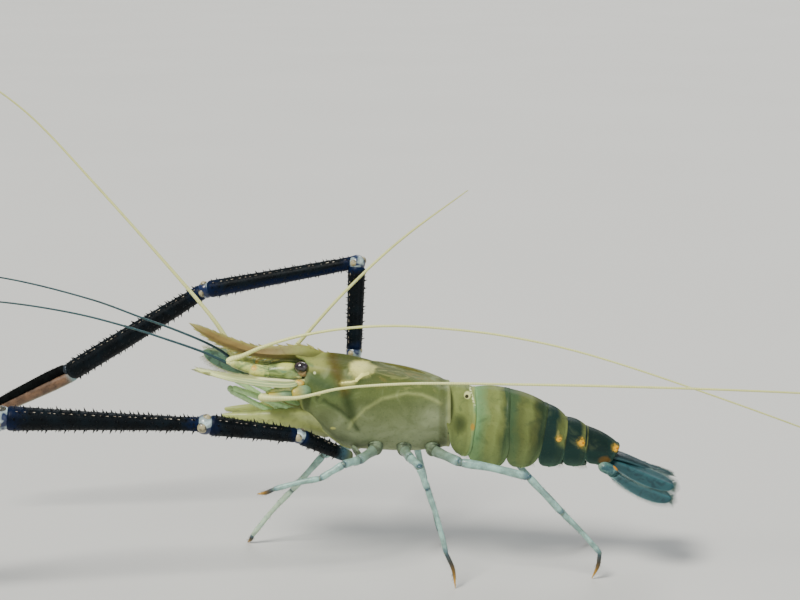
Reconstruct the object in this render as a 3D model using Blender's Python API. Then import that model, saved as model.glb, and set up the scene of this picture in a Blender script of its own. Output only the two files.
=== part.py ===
"""Giant river prawn, a large long-clawed male, as a still life-size model.

The prawn faces -X with its left side towards -Y and stands on the plane Z = 0. Places are worked
out in millimetres along, across and up the body, and every mesh is written in metres.
"""
import math
import random

import bmesh
import bpy
from mathutils import Matrix, Vector

MM = 0.001
GAP = 0.3

# The shell of the head and chest, in millimetres
ORBIT_X = -44.0
CARAPACE_REAR_X = 24.0
CARAPACE_HALF_WIDTH = 16.8
ROSTRUM_TIP = (-102.4, 123.2)
EYE_RADIUS = 3.35
EYE_CENTRE = (-47.6, -9.2, 103.9)

# Sides of the round forms
ARM_SIDES = 10
FEELER_SIDES = 6
LEG_SIDES = 7

# The spines of the big arms, in millimetres
SPINE_ROWS = 6
SPINE_SPACING = 12.0
SPINE_STANDS = 2.4
SPINE_HALF_WIDTH = 0.75
SPINE_SEED = 11

LEFT = -1
RIGHT = 1
SIDES = ((LEFT, "left"), (RIGHT, "right"))


def clear_scene():
    """Removes the start-up objects, so that only the prawn is left."""
    for item in list(bpy.data.objects):
        bpy.data.objects.remove(item, do_unlink=True)


def new_collection(name):
    group = bpy.data.collections.new(name)
    bpy.context.scene.collection.children.link(group)
    return group


def shell_material(name, colour, roughness=0.4, metallic=0.0):
    """A plain finish in one node's colour."""
    finish = bpy.data.materials.new(name)
    finish.use_nodes = True
    shader = finish.node_tree.nodes["Principled BSDF"]
    shader.inputs["Base Color"].default_value = (*colour, 1.0)
    shader.inputs["Roughness"].default_value = roughness
    shader.inputs["Metallic"].default_value = metallic
    return finish


def mirrored(point, side):
    """A left-hand place, carried to the asked side of the body."""
    return (point[0], point[1] if side == LEFT else -point[1], point[2])


def mesh_object(name, bm, group):
    """Writes a bmesh held in millimetres as an object in metres, faces pointing out."""
    bmesh.ops.remove_doubles(bm, verts=bm.verts, dist=0.001)
    bmesh.ops.recalc_face_normals(bm, faces=bm.faces)
    bmesh.ops.scale(bm, vec=(MM, MM, MM), verts=bm.verts)
    mesh = bpy.data.meshes.new(name)
    bm.to_mesh(mesh)
    bm.free()
    item = bpy.data.objects.new(name, mesh)
    group.objects.link(item)
    return item


def loft(rings):
    """A closed body through rings of equal count, in millimetres, capped at both ends."""
    bm = bmesh.new()
    rows = [[bm.verts.new(point) for point in ring] for ring in rings]
    count = len(rows[0])
    for near, far in zip(rows, rows[1:]):
        for i in range(count):
            j = (i + 1) % count
            bm.faces.new((near[i], near[j], far[j], far[i]))
    bm.faces.new(list(reversed(rows[0])))
    bm.faces.new(rows[-1])
    return bm


def eased(knots, place):
    """Reads a smooth curve through (place, value...) knots at one place."""
    knots = sorted(knots)
    if place <= knots[0][0]:
        return list(knots[0][1:])
    if place >= knots[-1][0]:
        return list(knots[-1][1:])
    last = len(knots) - 1
    i = max(k for k in range(last) if knots[k][0] <= place)
    p0, p1, p2, p3 = (knots[min(max(k, 0), last)] for k in (i - 1, i, i + 1, i + 2))
    width = p2[0] - p1[0]
    t = (place - p1[0]) / width
    values = []
    for n in range(1, len(p1)):
        slope_in = (p2[n] - p0[n]) / (p2[0] - p0[0]) * width
        slope_out = (p3[n] - p1[n]) / (p3[0] - p1[0]) * width
        values.append(
            (2 * t**3 - 3 * t**2 + 1) * p1[n]
            + (t**3 - 2 * t**2 + t) * slope_in
            + (3 * t**2 - 2 * t**3) * p2[n]
            + (t**3 - t**2) * slope_out
        )
    return values


def smooth_path(points, count):
    """Reads a route through (x, y, z, radius) points at evenly spaced places along it."""
    travelled = [0.0]
    for a, b in zip(points, points[1:]):
        travelled.append(travelled[-1] + (Vector(b[:3]) - Vector(a[:3])).length)
    knots = [(far, *point) for far, point in zip(travelled, points)]
    return [eased(knots, travelled[-1] * i / (count - 1)) for i in range(count)]


def tube_rings(route, sides, squash=1.0, up=(0.0, 0.0, 1.0)):
    """Rings across a route of (x, y, z, radius); squash is height over width."""
    centres = [Vector(stop[:3]) for stop in route]
    rings = []
    for i, stop in enumerate(route):
        ahead = centres[min(i + 1, len(route) - 1)] - centres[max(i - 1, 0)]
        ahead.normalize()
        across = ahead.cross(Vector(up))
        if across.length < 0.2:
            across = ahead.cross(Vector((0.0, 1.0, 0.0)))
        across.normalize()
        over = across.cross(ahead)
        ring = []
        for k in range(sides):
            turn = 2 * math.pi * k / sides
            ring.append(
                centres[i]
                + across * (stop[3] * math.cos(turn))
                + over * (stop[3] * squash * math.sin(turn))
            )
        rings.append(ring)
    return rings


def round_ended(route, start=True, end=True):
    """Adds two shrinking stops past an end, so that the tube closes in a soft dome."""
    route = [list(stop) for stop in route]

    def dome(outer, inner):
        a, b = Vector(outer[:3]), Vector(inner[:3])
        out = (a - b).normalized()
        radius = outer[3]
        return [
            [*(a + out * radius * 0.55), radius * 0.82],
            [*(a + out * radius * 0.92), radius * 0.40],
        ]

    if end:
        route += dome(route[-1], route[-2])
    if start:
        route = list(reversed(dome(route[0], route[1]))) + route
    return route


def tube(name, points, group, sides=ARM_SIDES, count=8, squash=1.0, start=True, end=True,
         up=(0.0, 0.0, 1.0)):
    """A tapered, gently bent limb part or feeler with domed ends."""
    route = round_ended(smooth_path(points, count), start, end)
    return mesh_object(name, loft(tube_rings(route, sides, squash, up)), group)


def blade(name, points, group, normal, ridge=0.5, edge=0.28, count=8):
    """A flat leaf: (x, y, z, half width) stops, with a raised midrib on both faces."""
    route = smooth_path(points, count)
    centres = [Vector(stop[:3]) for stop in route]
    rings = []
    for i, stop in enumerate(route):
        ahead = (centres[min(i + 1, count - 1)] - centres[max(i - 1, 0)]).normalized()
        across = ahead.cross(Vector(normal)).normalized()
        over = across.cross(ahead)
        half = stop[3]
        profile = [(1.0, edge), (0.45, edge * 1.15), (0.0, ridge), (-0.45, edge * 1.15), (-1.0, edge)]
        ring = [centres[i] + across * half * s + over * t for s, t in profile]
        ring += [centres[i] + across * half * s - over * t for s, t in reversed(profile)]
        rings.append(ring)
    bm = loft(rings)
    bmesh.ops.triangulate(bm, faces=bm.faces)
    return mesh_object(name, bm, group)


def spikes(name, places, group):
    """Four-sided spines in one mesh, each from its root, way, length and half width."""
    bm = bmesh.new()
    for root, way, length, half_width in places:
        turn = Vector((0.0, 0.0, 1.0)).rotation_difference(way).to_matrix().to_4x4()
        bmesh.ops.create_cone(
            bm, cap_ends=True, segments=4, radius1=half_width, radius2=0.0, depth=length,
            matrix=Matrix.Translation(root + way * (length / 2)) @ turn,
        )
    return mesh_object(name, bm, group)


def ball(name, centre, radius, group, segments=16, rings=12):
    bm = bmesh.new()
    bmesh.ops.create_uvsphere(bm, u_segments=segments, v_segments=rings, radius=radius)
    bmesh.ops.translate(bm, vec=centre, verts=bm.verts)
    return mesh_object(name, bm, group)


def swollen(item, group, gap=GAP):
    """A cutter: the same form with its skin moved out by the gap."""
    bm = bmesh.new()
    bm.from_mesh(item.data)
    bm.normal_update()
    moves = [(corner, corner.normal.copy()) for corner in bm.verts]
    for corner, way in moves:
        corner.co += way * gap * MM
    mesh = bpy.data.meshes.new(item.name + "_cutter")
    bm.to_mesh(mesh)
    bm.free()
    cutter = bpy.data.objects.new(item.name + "_cutter", mesh)
    group.objects.link(cutter)
    cutter.hide_render = True
    cutter.display_type = "WIRE"
    return cutter


def keep_largest(item):
    """Keeps only the largest closed surface of a mesh."""
    bm = bmesh.new()
    bm.from_mesh(item.data)
    bmesh.ops.remove_doubles(bm, verts=bm.verts, dist=0.005 * MM)
    unseen = set(bm.faces)
    shells = []
    while unseen:
        seed = unseen.pop()
        shell, edge_of_search = [seed], [seed]
        while edge_of_search:
            face = edge_of_search.pop()
            for edge in face.edges:
                for other in edge.link_faces:
                    if other in unseen:
                        unseen.remove(other)
                        shell.append(other)
                        edge_of_search.append(other)
        shells.append(shell)
    shells.sort(key=lambda shell: sum(face.calc_area() for face in shell))
    scraps = [face for shell in shells[:-1] for face in shell]
    if scraps:
        bmesh.ops.delete(bm, geom=scraps, context="FACES")
    bm.to_mesh(item.data)
    bm.free()


def applied(item):
    """Replaces an object's mesh by what its modifiers make of it."""
    graph = bpy.context.evaluated_depsgraph_get()
    mesh = bpy.data.meshes.new_from_object(item.evaluated_get(graph))
    item.modifiers.clear()
    item.data = mesh
    keep_largest(item)


def carve(item, cutters):
    """Cuts an object clear of each cutter."""
    for cutter in cutters:
        cut = item.modifiers.new("clear", "BOOLEAN")
        cut.operation = "DIFFERENCE"
        cut.solver = "EXACT"
        cut.object = cutter
    if cutters:
        applied(item)


def unite(item, pieces):
    """Joins closed pieces to an object with one Boolean union, and removes them."""
    if not pieces:
        return
    group = bpy.data.collections.new(item.name + "_pieces")
    bpy.context.scene.collection.children.link(group)
    for piece in pieces:
        for owner in list(piece.users_collection):
            owner.objects.unlink(piece)
        group.objects.link(piece)
    join = item.modifiers.new("join", "BOOLEAN")
    join.operation = "UNION"
    join.solver = "EXACT"
    join.operand_type = "COLLECTION"
    join.collection = group
    applied(item)
    for piece in pieces:
        bpy.data.objects.remove(piece, do_unlink=True)
    bpy.data.collections.remove(group)


def rest_flat(item, level=0.0):
    """Cuts what would pass through the floor, leaving a small flat at its level."""
    bm = bmesh.new()
    bm.from_mesh(item.data)
    geometry = bm.verts[:] + bm.edges[:] + bm.faces[:]
    cut = bmesh.ops.bisect_plane(
        bm, geom=geometry, plane_co=(0, 0, level * MM), plane_no=(0, 0, -1), clear_outer=True
    )
    rim = [part for part in cut["geom_cut"] if isinstance(part, bmesh.types.BMEdge)]
    if rim:
        bmesh.ops.holes_fill(bm, edges=rim, sides=0)
    bmesh.ops.recalc_face_normals(bm, faces=bm.faces)
    bm.to_mesh(item.data)
    bm.free()


def finish(item, material):
    """Gives a node its material and its shading."""
    item.data.materials.clear()
    item.data.materials.append(material)
    item.data.shade_smooth()
    item.data.set_sharp_from_angle(angle=math.radians(40))
    return item


def box_of(item):
    """Lowest and highest corner of an object's mesh."""
    corners = [corner.co for corner in item.data.vertices]
    low = [min(c[axis] for c in corners) for axis in range(3)]
    high = [max(c[axis] for c in corners) for axis in range(3)]
    return low, high


def boxes_meet(a, b):
    return all(a[0][axis] <= b[1][axis] and b[0][axis] <= a[1][axis] for axis in range(3))


class Prawn:
    """The nodes made so far, and a swollen cutter for each of their forms."""

    def __init__(self):
        self.group = new_collection("giant_river_prawn")
        self.cutter_group = new_collection("cutters")
        self.cutters = []
        self.nodes = {}

    def add(self, item, solid_pieces=(), small_pieces=(), on_floor=False):
        """Joins what grows from a node, and cuts it clear of the nodes before it."""
        own = [swollen(form, self.cutter_group) for form in (item, *solid_pieces)]
        unite(item, [*solid_pieces, *small_pieces])
        box = box_of(item)
        carve(item, [cutter for cutter, reach in self.cutters if boxes_meet(reach, box)])
        if on_floor:
            rest_flat(item)
        self.cutters += [(cutter, box_of(cutter)) for cutter in own]
        self.nodes[item.name] = item

    def drop_cutters(self):
        for cutter, _ in self.cutters:
            bpy.data.objects.remove(cutter, do_unlink=True)
        bpy.data.collections.remove(self.cutter_group)


# Height share from the back and width share, from the keel down to the underside
CARAPACE_PROFILE = (
    (0.00, 0.00), (0.02, 0.16), (0.09, 0.40), (0.23, 0.68), (0.42, 0.90),
    (0.62, 1.00), (0.80, 0.97), (0.93, 0.82), (0.99, 0.45), (0.985, 0.0),
)

# Place along the body, back height, underside height and half width
CARAPACE_STATIONS = (
    (-47.0, 101.0, 90.0, 3.6),
    (ORBIT_X, 104.5, 83.5, 8.6),
    (-41.0, 106.4, 76.0, 11.4),
    (-36.0, 107.0, 70.6, 13.6),
    (-29.0, 106.8, 65.0, 15.3),
    (-20.0, 105.2, 61.4, 16.4),
    (-9.0, 103.1, 59.8, CARAPACE_HALF_WIDTH),
    (3.0, 100.8, 59.4, CARAPACE_HALF_WIDTH),
    (13.0, 98.0, 60.0, 16.4),
    (20.0, 94.8, 61.2, 15.6),
    (CARAPACE_REAR_X, 92.6, 62.5, 14.9),
)


def carapace_shell(group):
    """The one-piece shell of head and chest, with the body that it holds."""
    rings = []
    for x, top, low, half in CARAPACE_STATIONS:
        right = [(x, half * s, top + (low - top) * t) for t, s in CARAPACE_PROFILE]
        left = [(x, -half * s, z) for (t, s), (_, _, z) in zip(CARAPACE_PROFILE, right)]
        rings.append(right + list(reversed(left[1:-1])))
    return mesh_object("carapace", loft(rings), group)


# Place along the body, upper edge, lower edge and half thickness of the beak
ROSTRUM_STATIONS = (
    (-24.0, 105.2, 100.0, 0.8),
    (-32.0, 107.6, 101.5, 1.5),
    (-38.0, 109.0, 102.5, 2.0),
    (-44.5, 112.0, 104.3, 2.4),
    (-52.0, 112.3, 105.4, 2.3),
    (-61.0, 111.9, 105.6, 2.0),
    (-70.0, 112.3, 106.8, 1.7),
    (-79.0, 115.2, 109.4, 1.4),
    (-88.0, 118.8, 113.0, 1.1),
    (-96.0, 122.2, 118.0, 0.8),
    (ROSTRUM_TIP[0], ROSTRUM_TIP[1] + 0.5, ROSTRUM_TIP[1] - 0.5, 0.4),
)


def rostrum_blade(group):
    rings = []
    for x, top, low, half in ROSTRUM_STATIONS:
        tall = top - low
        side = [(top, 0.35), (top - tall * 0.38, 0.62), (low + tall * 0.42, 1.0), (low, 0.4)]
        ring = [(x, half * s, z) for z, s in side]
        ring += [(x, -half * s, z) for z, s in reversed(side)]
        rings.append(ring)
    return mesh_object("rostrum_piece", loft(rings), group)


# Back point and belly point of each plate's front edge, and half width there
ABDOMEN_EDGES = (
    ((24.0, 92.6), (24.0, 59.0), 14.8),
    ((36.0, 91.3), (35.0, 55.5), 14.9),
    ((53.0, 90.6), (50.0, 54.2), 14.6),
    ((72.0, 83.0), (65.0, 54.4), 13.4),
    ((81.5, 76.2), (77.5, 54.2), 12.0),
    ((91.5, 71.6), (89.0, 53.8), 10.2),
    ((107.5, 62.6), (101.5, 52.4), 6.6),
)

# Height share from the back and width share, down a plate to the tip of its side flap
PLATE_PROFILE = (
    (0.00, 0.00), (0.03, 0.26), (0.11, 0.50), (0.23, 0.71), (0.38, 0.88), (0.54, 0.98), (0.68, 1.0),
)
BELLY = 0.72

# Share of a plate's length, length of its side flap, and swell of its rim
PLATE_SHARES = (
    (0.00, 0.16, 0.975), (0.18, 0.72, 0.99), (0.42, 0.98, 1.0), (0.66, 1.0, 1.01),
    (0.88, 0.70, 1.02), (1.00, 0.18, 1.02),
)

# The second plate's side flap reaches over the flaps before and behind it, by so much each way
WIDE_PLATE = 2
WIDE_FLAP_REACH = 4.6
FLAP_TOP = 0.54


def plate_ring(back, belly, half, flap, swell, spread):
    """One section across the tail, with side flaps that hang below the belly."""
    back, belly = Vector((back[0], 0, back[1])), Vector((belly[0], 0, belly[1]))
    down = belly - back
    side = [(t, s * half * swell) for t, s in PLATE_PROFILE]
    reach = 1.0 - PLATE_PROFILE[-1][0]
    tip = PLATE_PROFILE[-1][0] + reach * flap
    side += [(tip - reach * flap * 0.3, half * swell * 0.985), (tip, half * 0.93)]
    side += [(tip - reach * flap * 0.12, half * 0.84), (BELLY - 0.02, half * 0.74)]
    side += [(BELLY, half * 0.45), (BELLY + 0.01, 0.0)]
    ring = []
    for t, s in side + [(t, -s) for t, s in reversed(side[1:-1])]:
        along = spread * max(t - FLAP_TOP, 0.0) / (1.0 - FLAP_TOP) if abs(s) > half * 0.7 else 0.0
        ring.append(back + down * t + Vector((along, s, 0)))
    return ring


def between(a, b, share):
    return tuple(p + (q - p) * share for p, q in zip(a, b))


def tail_plate(number, group):
    """One ring of the tail, between its front edge and the next one's."""
    (back_a, belly_a, half_a) = ABDOMEN_EDGES[number - 1]
    (back_b, belly_b, half_b) = ABDOMEN_EDGES[number]
    length = math.dist(back_a, back_b)
    low_length = math.dist(belly_a, belly_b)
    inset = GAP / 2 / length
    low_inset = GAP / 2 / low_length
    rings = []
    for share, flap, swell in PLATE_SHARES:
        top_share = inset + share * (1 - 2 * inset)
        low_share = low_inset + share * (1 - 2 * low_inset)
        back = between(back_a, back_b, top_share)
        belly = between(belly_a, belly_b, low_share)
        crown = math.sin(math.pi * share) * 0.35
        back = (back[0], back[1] + crown)
        half = half_a + (half_b - half_a) * share
        inner = number == WIDE_PLATE and 0.0 < share < 1.0
        spread = (share - 0.53) / 0.35 * WIDE_FLAP_REACH if inner else 0.0
        rings.append(plate_ring(back, belly, half, flap, swell, spread))
    return mesh_object(f"abdomen_{number}", loft(rings), group)


def swimmeret_pieces(number, group):
    """The pair of swimming legs under one plate, folded back between its side flaps."""
    (back_a, belly_a, half_a) = ABDOMEN_EDGES[number - 1]
    (back_b, belly_b, half_b) = ABDOMEN_EDGES[number]
    back = between(back_a, back_b, 0.42)
    belly = between(belly_a, belly_b, 0.42)
    half = (half_a + half_b) / 2
    root = between(back, belly, BELLY - 0.08)
    depth = math.dist(back, belly)
    reach = depth * 0.30
    pieces = []
    for side in (LEFT, RIGHT):
        y = side * half * 0.36
        stops = [
            (root[0] - 1.2, y, root[1], 1.6),
            (root[0] + reach * 0.25, y, root[1] - reach * 0.52, 2.2),
            (root[0] + reach * 0.62, y * 1.05, root[1] - reach * 0.92, 2.3),
            (root[0] + reach * 1.0, y * 1.05, root[1] - reach * 1.22, 0.7),
        ]
        pieces.append(
            blade(f"swimmeret_{number}_{side}", stops, group, (0.6, 0.25 * side, 0.75), 0.75, 0.4, 6)
        )
    return pieces


# Teeth of the beak: first and last place along the body, count, and lean ahead and up
TOP_TEETH = (-36.0, -84.0, 12, (-0.80, 0.0, 0.60))
LOW_TEETH = (-62.0, -98.0, 10, (-0.82, 0.0, -0.57))
TOOTH_STANDS = 2.0
TOOTH_HALF_WIDTH = 0.62

# Spines on the front edge of the carapace and on its cheek, left side
CHEEK_SPINES = (
    ((-44.6, -9.3, 97.0), (-0.96, -0.25, 0.1), 4.4, 0.9),
    ((-37.5, -12.6, 92.0), (-0.84, -0.54, 0.0), 3.6, 0.9),
)


def beak_teeth(group):
    """The saw teeth above and below the beak, each rooted in the blade."""
    tops = [(x, top, low) for x, top, low, _ in ROSTRUM_STATIONS]
    places = []
    for (first, last, count, lean), upper in ((TOP_TEETH, True), (LOW_TEETH, False)):
        way = Vector(lean).normalized()
        for k in range(count):
            x = first + (last - first) * k / (count - 1)
            top, low = eased(tops, x)
            sunk = min(1.4, (top - low) * 0.4)
            z = top - sunk if upper else low + sunk
            length = TOOTH_STANDS + sunk / abs(way.z)
            places.append((Vector((x, 0.0, z)), way, length, TOOTH_HALF_WIDTH))
    return spikes("beak_teeth", places, group)


def cheek_spines(group):
    places = []
    for side, _ in SIDES:
        for root, way, length, half_width in CHEEK_SPINES:
            outward = Vector(mirrored(way, side)).normalized()
            places.append((Vector(mirrored(root, side)), outward, length, half_width))
    return spikes("cheek_spines", places, group)


def build_body(prawn):
    """Carapace with its beak, and the six plates of the tail, the widest of them first."""
    prawn.add(
        carapace_shell(prawn.group), [rostrum_blade(prawn.group)],
        [beak_teeth(prawn.group), cheek_spines(prawn.group)],
    )
    for number in (WIDE_PLATE, 1, 3, 4, 5, 6):
        pieces = swimmeret_pieces(number, prawn.group) if number < 6 else []
        prawn.add(tail_plate(number, prawn.group), pieces)


def on_side(stops, side):
    """Left-hand stops carried to the asked side."""
    return [mirrored(stop[:3], side) + (stop[3],) for stop in stops]


TELSON = ((103.0, 0, 59.0, 4.6), (110.0, 0, 57.6, 4.5), (120.0, 0, 54.0, 3.4), (133.2, 0, 49.6, 1.0))
INNER_LEAF = (
    (103.5, -3.4, 53.6, 1.8), (108.0, -5.6, 52.4, 3.0), (117.0, -8.2, 49.0, 4.3),
    (127.0, -10.2, 45.4, 4.2), (133.6, -11.2, 43.4, 1.4),
)
OUTER_LEAF = (
    (101.5, -4.6, 51.6, 2.0), (106.0, -8.4, 49.2, 3.3), (115.0, -12.6, 45.2, 4.8),
    (125.0, -15.4, 41.6, 4.6), (131.8, -16.4, 39.6, 1.5),
)


def build_tail_fan(prawn):
    """The telson and the two leaves on each side of it."""
    prawn.add(tube("telson", TELSON, prawn.group, squash=0.62))
    for side, label in SIDES:
        prawn.add(blade(
            f"uropod_inner_{label}", on_side(INNER_LEAF, side), prawn.group,
            (0.25, 0.42 * side, 0.9), 0.8, 0.35, 9,
        ))
        prawn.add(blade(
            f"uropod_outer_{label}", on_side(OUTER_LEAF, side), prawn.group,
            (0.25, 0.75 * side, 0.8), 0.9, 0.4, 9,
        ))


EYESTALK = ((-43.0, -4.2, 98.8, 2.2), (-46.4, -7.6, 101.8, 2.6))


def build_eyes(prawn):
    for side, label in SIDES:
        centre = mirrored(EYE_CENTRE, side)
        prawn.add(ball(f"eye_{label}", centre, EYE_RADIUS, prawn.group))
        stalk = tube(f"eyestalk_{label}", on_side(EYESTALK, side), prawn.group, count=4)
        prawn.add(stalk)


ANTENNULE_BASE = (
    (-45.5, -4.6, 96.6, 2.2), (-52.0, -5.4, 98.6, 3.3), (-60.0, -5.8, 100.2, 2.9),
    (-67.5, -6.0, 101.2, 3.0), (-75.0, -6.0, 103.0, 2.3), (-80.6, -6.0, 105.0, 2.2),
)
ANTENNA_BASE = (
    (-44.6, -9.4, 92.4, 3.2), (-50.0, -12.4, 91.6, 3.4), (-57.0, -14.6, 91.0, 2.8),
    (-62.5, -15.6, 90.8, 2.5),
)
SCALE_LEFT = (
    (-47.6, -11.2, 97.3, 3.0), (-55.0, -13.0, 97.2, 4.6), (-66.0, -14.4, 97.8, 5.0),
    (-80.0, -15.0, 100.0, 4.6), (-91.0, -14.6, 102.8, 2.6), (-98.6, -14.0, 104.7, 0.6),
)
SCALE_RIGHT = (
    (-47.6, 11.2, 97.3, 3.0), (-55.0, 12.8, 97.4, 4.6), (-66.0, 13.8, 98.4, 5.6),
    (-80.0, 14.4, 100.4, 6.2), (-91.0, 14.6, 103.6, 4.6), (-97.8, 14.2, 106.4, 1.2),
)

# Routes of the feelers: along, across, up and half thickness
OUTER_LEFT = (
    (-81.4, -6.4, 105.6, 1.75), (-76.0, -7.2, 109.0, 1.5), (-66.4, -8.4, 113.6, 1.25),
    (-47.9, -10.0, 119.5, 1.0), (-23.9, -12.0, 123.9, 0.85), (0.0, -13.0, 125.1, 0.78),
    (23.8, -14.0, 123.8, 0.72), (47.6, -15.0, 121.1, 0.68), (76.2, -16.0, 115.5, 0.62),
    (104.9, -17.0, 107.4, 0.57), (143.3, -18.0, 94.4, 0.5), (191.5, -20.0, 77.1, 0.42),
    (214.0, -21.0, 68.0, 0.34),
)
OUTER_RIGHT = (
    (-81.6, 6.2, 106.6, 1.75), (-83.0, 6.6, 112.0, 1.7), (-92.8, 8.0, 125.8, 1.35),
    (-116.2, 10.0, 153.8, 0.95), (-147.8, 12.0, 190.2, 0.7), (-174.1, 14.0, 219.0, 0.55),
    (-191.8, 15.0, 233.8, 0.48), (-212.0, 16.0, 246.0, 0.38),
)
INNER_LEFT = (
    (-82.2, -5.6, 104.6, 0.95), (-88.5, -8.0, 108.2, 0.85), (-95.1, -10.0, 111.8, 0.75),
    (-107.0, -13.0, 117.0, 0.68), (-128.8, -16.0, 125.1, 0.6), (-154.8, -18.0, 132.5, 0.52),
    (-188.6, -20.0, 138.3, 0.45), (-222.0, -22.0, 140.0, 0.34),
)
INNER_RIGHT = (
    (-82.2, 5.4, 104.2, 0.95), (-87.5, 4.9, 108.6, 0.85), (-96.2, 4.4, 113.5, 0.75),
    (-110.5, 4.0, 119.7, 0.68), (-125.2, 2.6, 125.6, 0.6), (-148.8, 0.6, 135.0, 0.54),
    (-186.5, -3.0, 145.7, 0.46), (-226.0, -6.0, 152.0, 0.34),
)
ANTENNA_LEFT = (
    (-65.4, -16.4, 90.9, 2.3), (-60.0, -19.6, 91.2, 1.9), (-47.8, -20.6, 91.9, 1.35),
    (-28.5, -22.0, 96.6, 1.1), (0.0, -26.0, 99.9, 0.92), (23.5, -29.0, 101.0, 0.86),
    (58.6, -33.0, 101.5, 0.78), (93.4, -36.0, 101.6, 0.7), (139.6, -39.0, 101.0, 0.6),
    (185.5, -42.0, 99.8, 0.5), (222.0, -44.0, 98.0, 0.36),
)
ANTENNA_RIGHT = (
    (-65.6, 16.4, 91.2, 2.3), (-60.5, 18.6, 97.5, 1.9), (-48.0, 19.4, 111.8, 1.3),
    (-27.1, 20.4, 135.0, 1.1), (0.0, 21.2, 160.4, 0.85), (33.3, 22.0, 185.3, 0.5),
)


def add_feeler(prawn, name, route, count):
    prawn.add(tube(name, route, prawn.group, FEELER_SIDES, count, start=False, end=False))


def add_long_feeler(prawn, name, route, count):
    """A long feeler in two lengths that meet end to end."""
    stops = smooth_path(route, count)
    first, second = stops[: count // 2 + 1], stops[count // 2:]
    way = (Vector(second[1][:3]) - Vector(second[0][:3])).normalized()
    second[0] = [*(Vector(second[0][:3]) + way * GAP), second[0][3]]
    for number, length in ((1, first), (2, second)):
        rings = tube_rings(length, FEELER_SIDES)
        prawn.add(mesh_object(f"{name}_{number}", loft(rings), prawn.group))


def build_feelers(prawn):
    """Both pairs of feelers with their stout bases, and the scales beside them."""
    for side, label in SIDES:
        base = on_side(ANTENNULE_BASE, side)
        prawn.add(tube(f"antennule_base_{label}", base, prawn.group, count=9, squash=0.92))
        stem = on_side(ANTENNA_BASE, side)
        prawn.add(tube(f"antenna_base_{label}", stem, prawn.group, count=7))
    prawn.add(blade(
        "antenna_scale_left", SCALE_LEFT, prawn.group, (0.16, 0.30, 0.94), 0.75, 0.4, 10
    ))
    prawn.add(blade(
        "antenna_scale_right", SCALE_RIGHT, prawn.group, (0.10, -0.80, 0.60), 0.75, 0.4, 10
    ))
    add_long_feeler(prawn, "antennule_outer_left", OUTER_LEFT, 25)
    add_feeler(prawn, "antennule_outer_right", OUTER_RIGHT, 18)
    add_feeler(prawn, "antennule_inner_left", INNER_LEFT, 14)
    add_feeler(prawn, "antennule_inner_right", INNER_RIGHT, 14)
    add_long_feeler(prawn, "antenna_left", ANTENNA_LEFT, 23)
    add_feeler(prawn, "antenna_right", ANTENNA_RIGHT, 14)


JAW = (
    (-39.0, -4.6, 77.0, 2.8), (-50.0, -5.2, 79.6, 2.9), (-62.0, -5.6, 80.2, 2.6),
    (-74.0, -5.8, 78.4, 2.0), (-85.0, -5.6, 76.0, 0.9),
)
FIRST_LEG_UPPER = (
    (-39.5, -10.6, 73.5, 2.3), (-48.0, -11.6, 79.2, 2.0), (-60.0, -11.8, 85.6, 1.9),
    (-80.2, -11.2, 93.4, 1.7),
)
FIRST_LEG_LOWER = (
    (-81.6, -11.4, 91.6, 1.6), (-74.0, -12.8, 87.0, 1.6), (-63.6, -13.6, 81.6, 1.9),
    (-56.0, -13.8, 77.6, 2.1), (-49.0, -13.4, 74.0, 1.1), (-46.6, -13.2, 72.6, 0.5),
)


def build_mouthparts(prawn):
    """The leg-like outer jaws and the first, slender pair of pincers."""
    for side, label in SIDES:
        for name, stops, count in (
            (f"maxilliped_{label}", JAW, 8),
            (f"first_leg_upper_{label}", FIRST_LEG_UPPER, 7),
            (f"first_leg_lower_{label}", FIRST_LEG_LOWER, 8),
        ):
            prawn.add(tube(name, on_side(stops, side), prawn.group, 8, count))


# Joints of the big arms: root, elbow joints, wrist, end of the palm and tip of the claw
ARM_JOINTS_LEFT = (
    (-24.0, -9.0, 58.5), (-48.6, -24.0, 74.0), (-92.0, -36.0, 83.0), (-184.0, -52.0, 90.6),
    (-258.0, -50.0, 35.0), (-300.0, -44.0, 1.6),
)
ARM_JOINTS_RIGHT = (
    (-24.0, 24.0, 63.0), (-23.2, 30.0, 101.9), (-21.7, 40.0, 146.0), (-100.9, 60.0, 127.5),
    (-176.2, 66.0, 80.6), (-232.0, 70.0, 53.0),
)
# Half thickness at the start and the end of ischium, merus, carpus and palm
ARM_GIRTH_LEFT = ((3.2, 3.8), (3.6, 4.9), (3.4, 5.8), (5.0, 6.3))
ARM_GIRTH_RIGHT = ((3.4, 4.0), (4.0, 4.4), (3.4, 4.5), (4.0, 5.0))
ARM_PARTS = ("ischium", "merus", "carpus", "palm")
PALM_SWELL = 1.14
FLARE = 1.7

# Where each arm leaves the body, and the half thickness of that hip piece
HIPS = {"left": (-20.0, -7.0, 61.0), "right": (-24.0, 7.5, 60.6)}
HIP_GIRTH = (4.0, 3.7)

# Claw, as shares of the palm's half thickness: fingers' half thickness, and their set from its middle
FIXED_THICK = 0.68
MOVING_THICK = 0.46
FIXED_SET = 0.55
MOVING_SET = 0.66
# Share of a finger's length, share of its thickness, and share of its hook
FINGER_TAPER = (
    (0.0, 0.86, 0.0), (0.18, 1.0, 0.0), (0.42, 0.94, 0.0), (0.66, 0.76, 0.1),
    (0.86, 0.48, 0.5), (1.0, 0.16, 1.0),
)
CLAW_TEETH = 6


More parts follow.
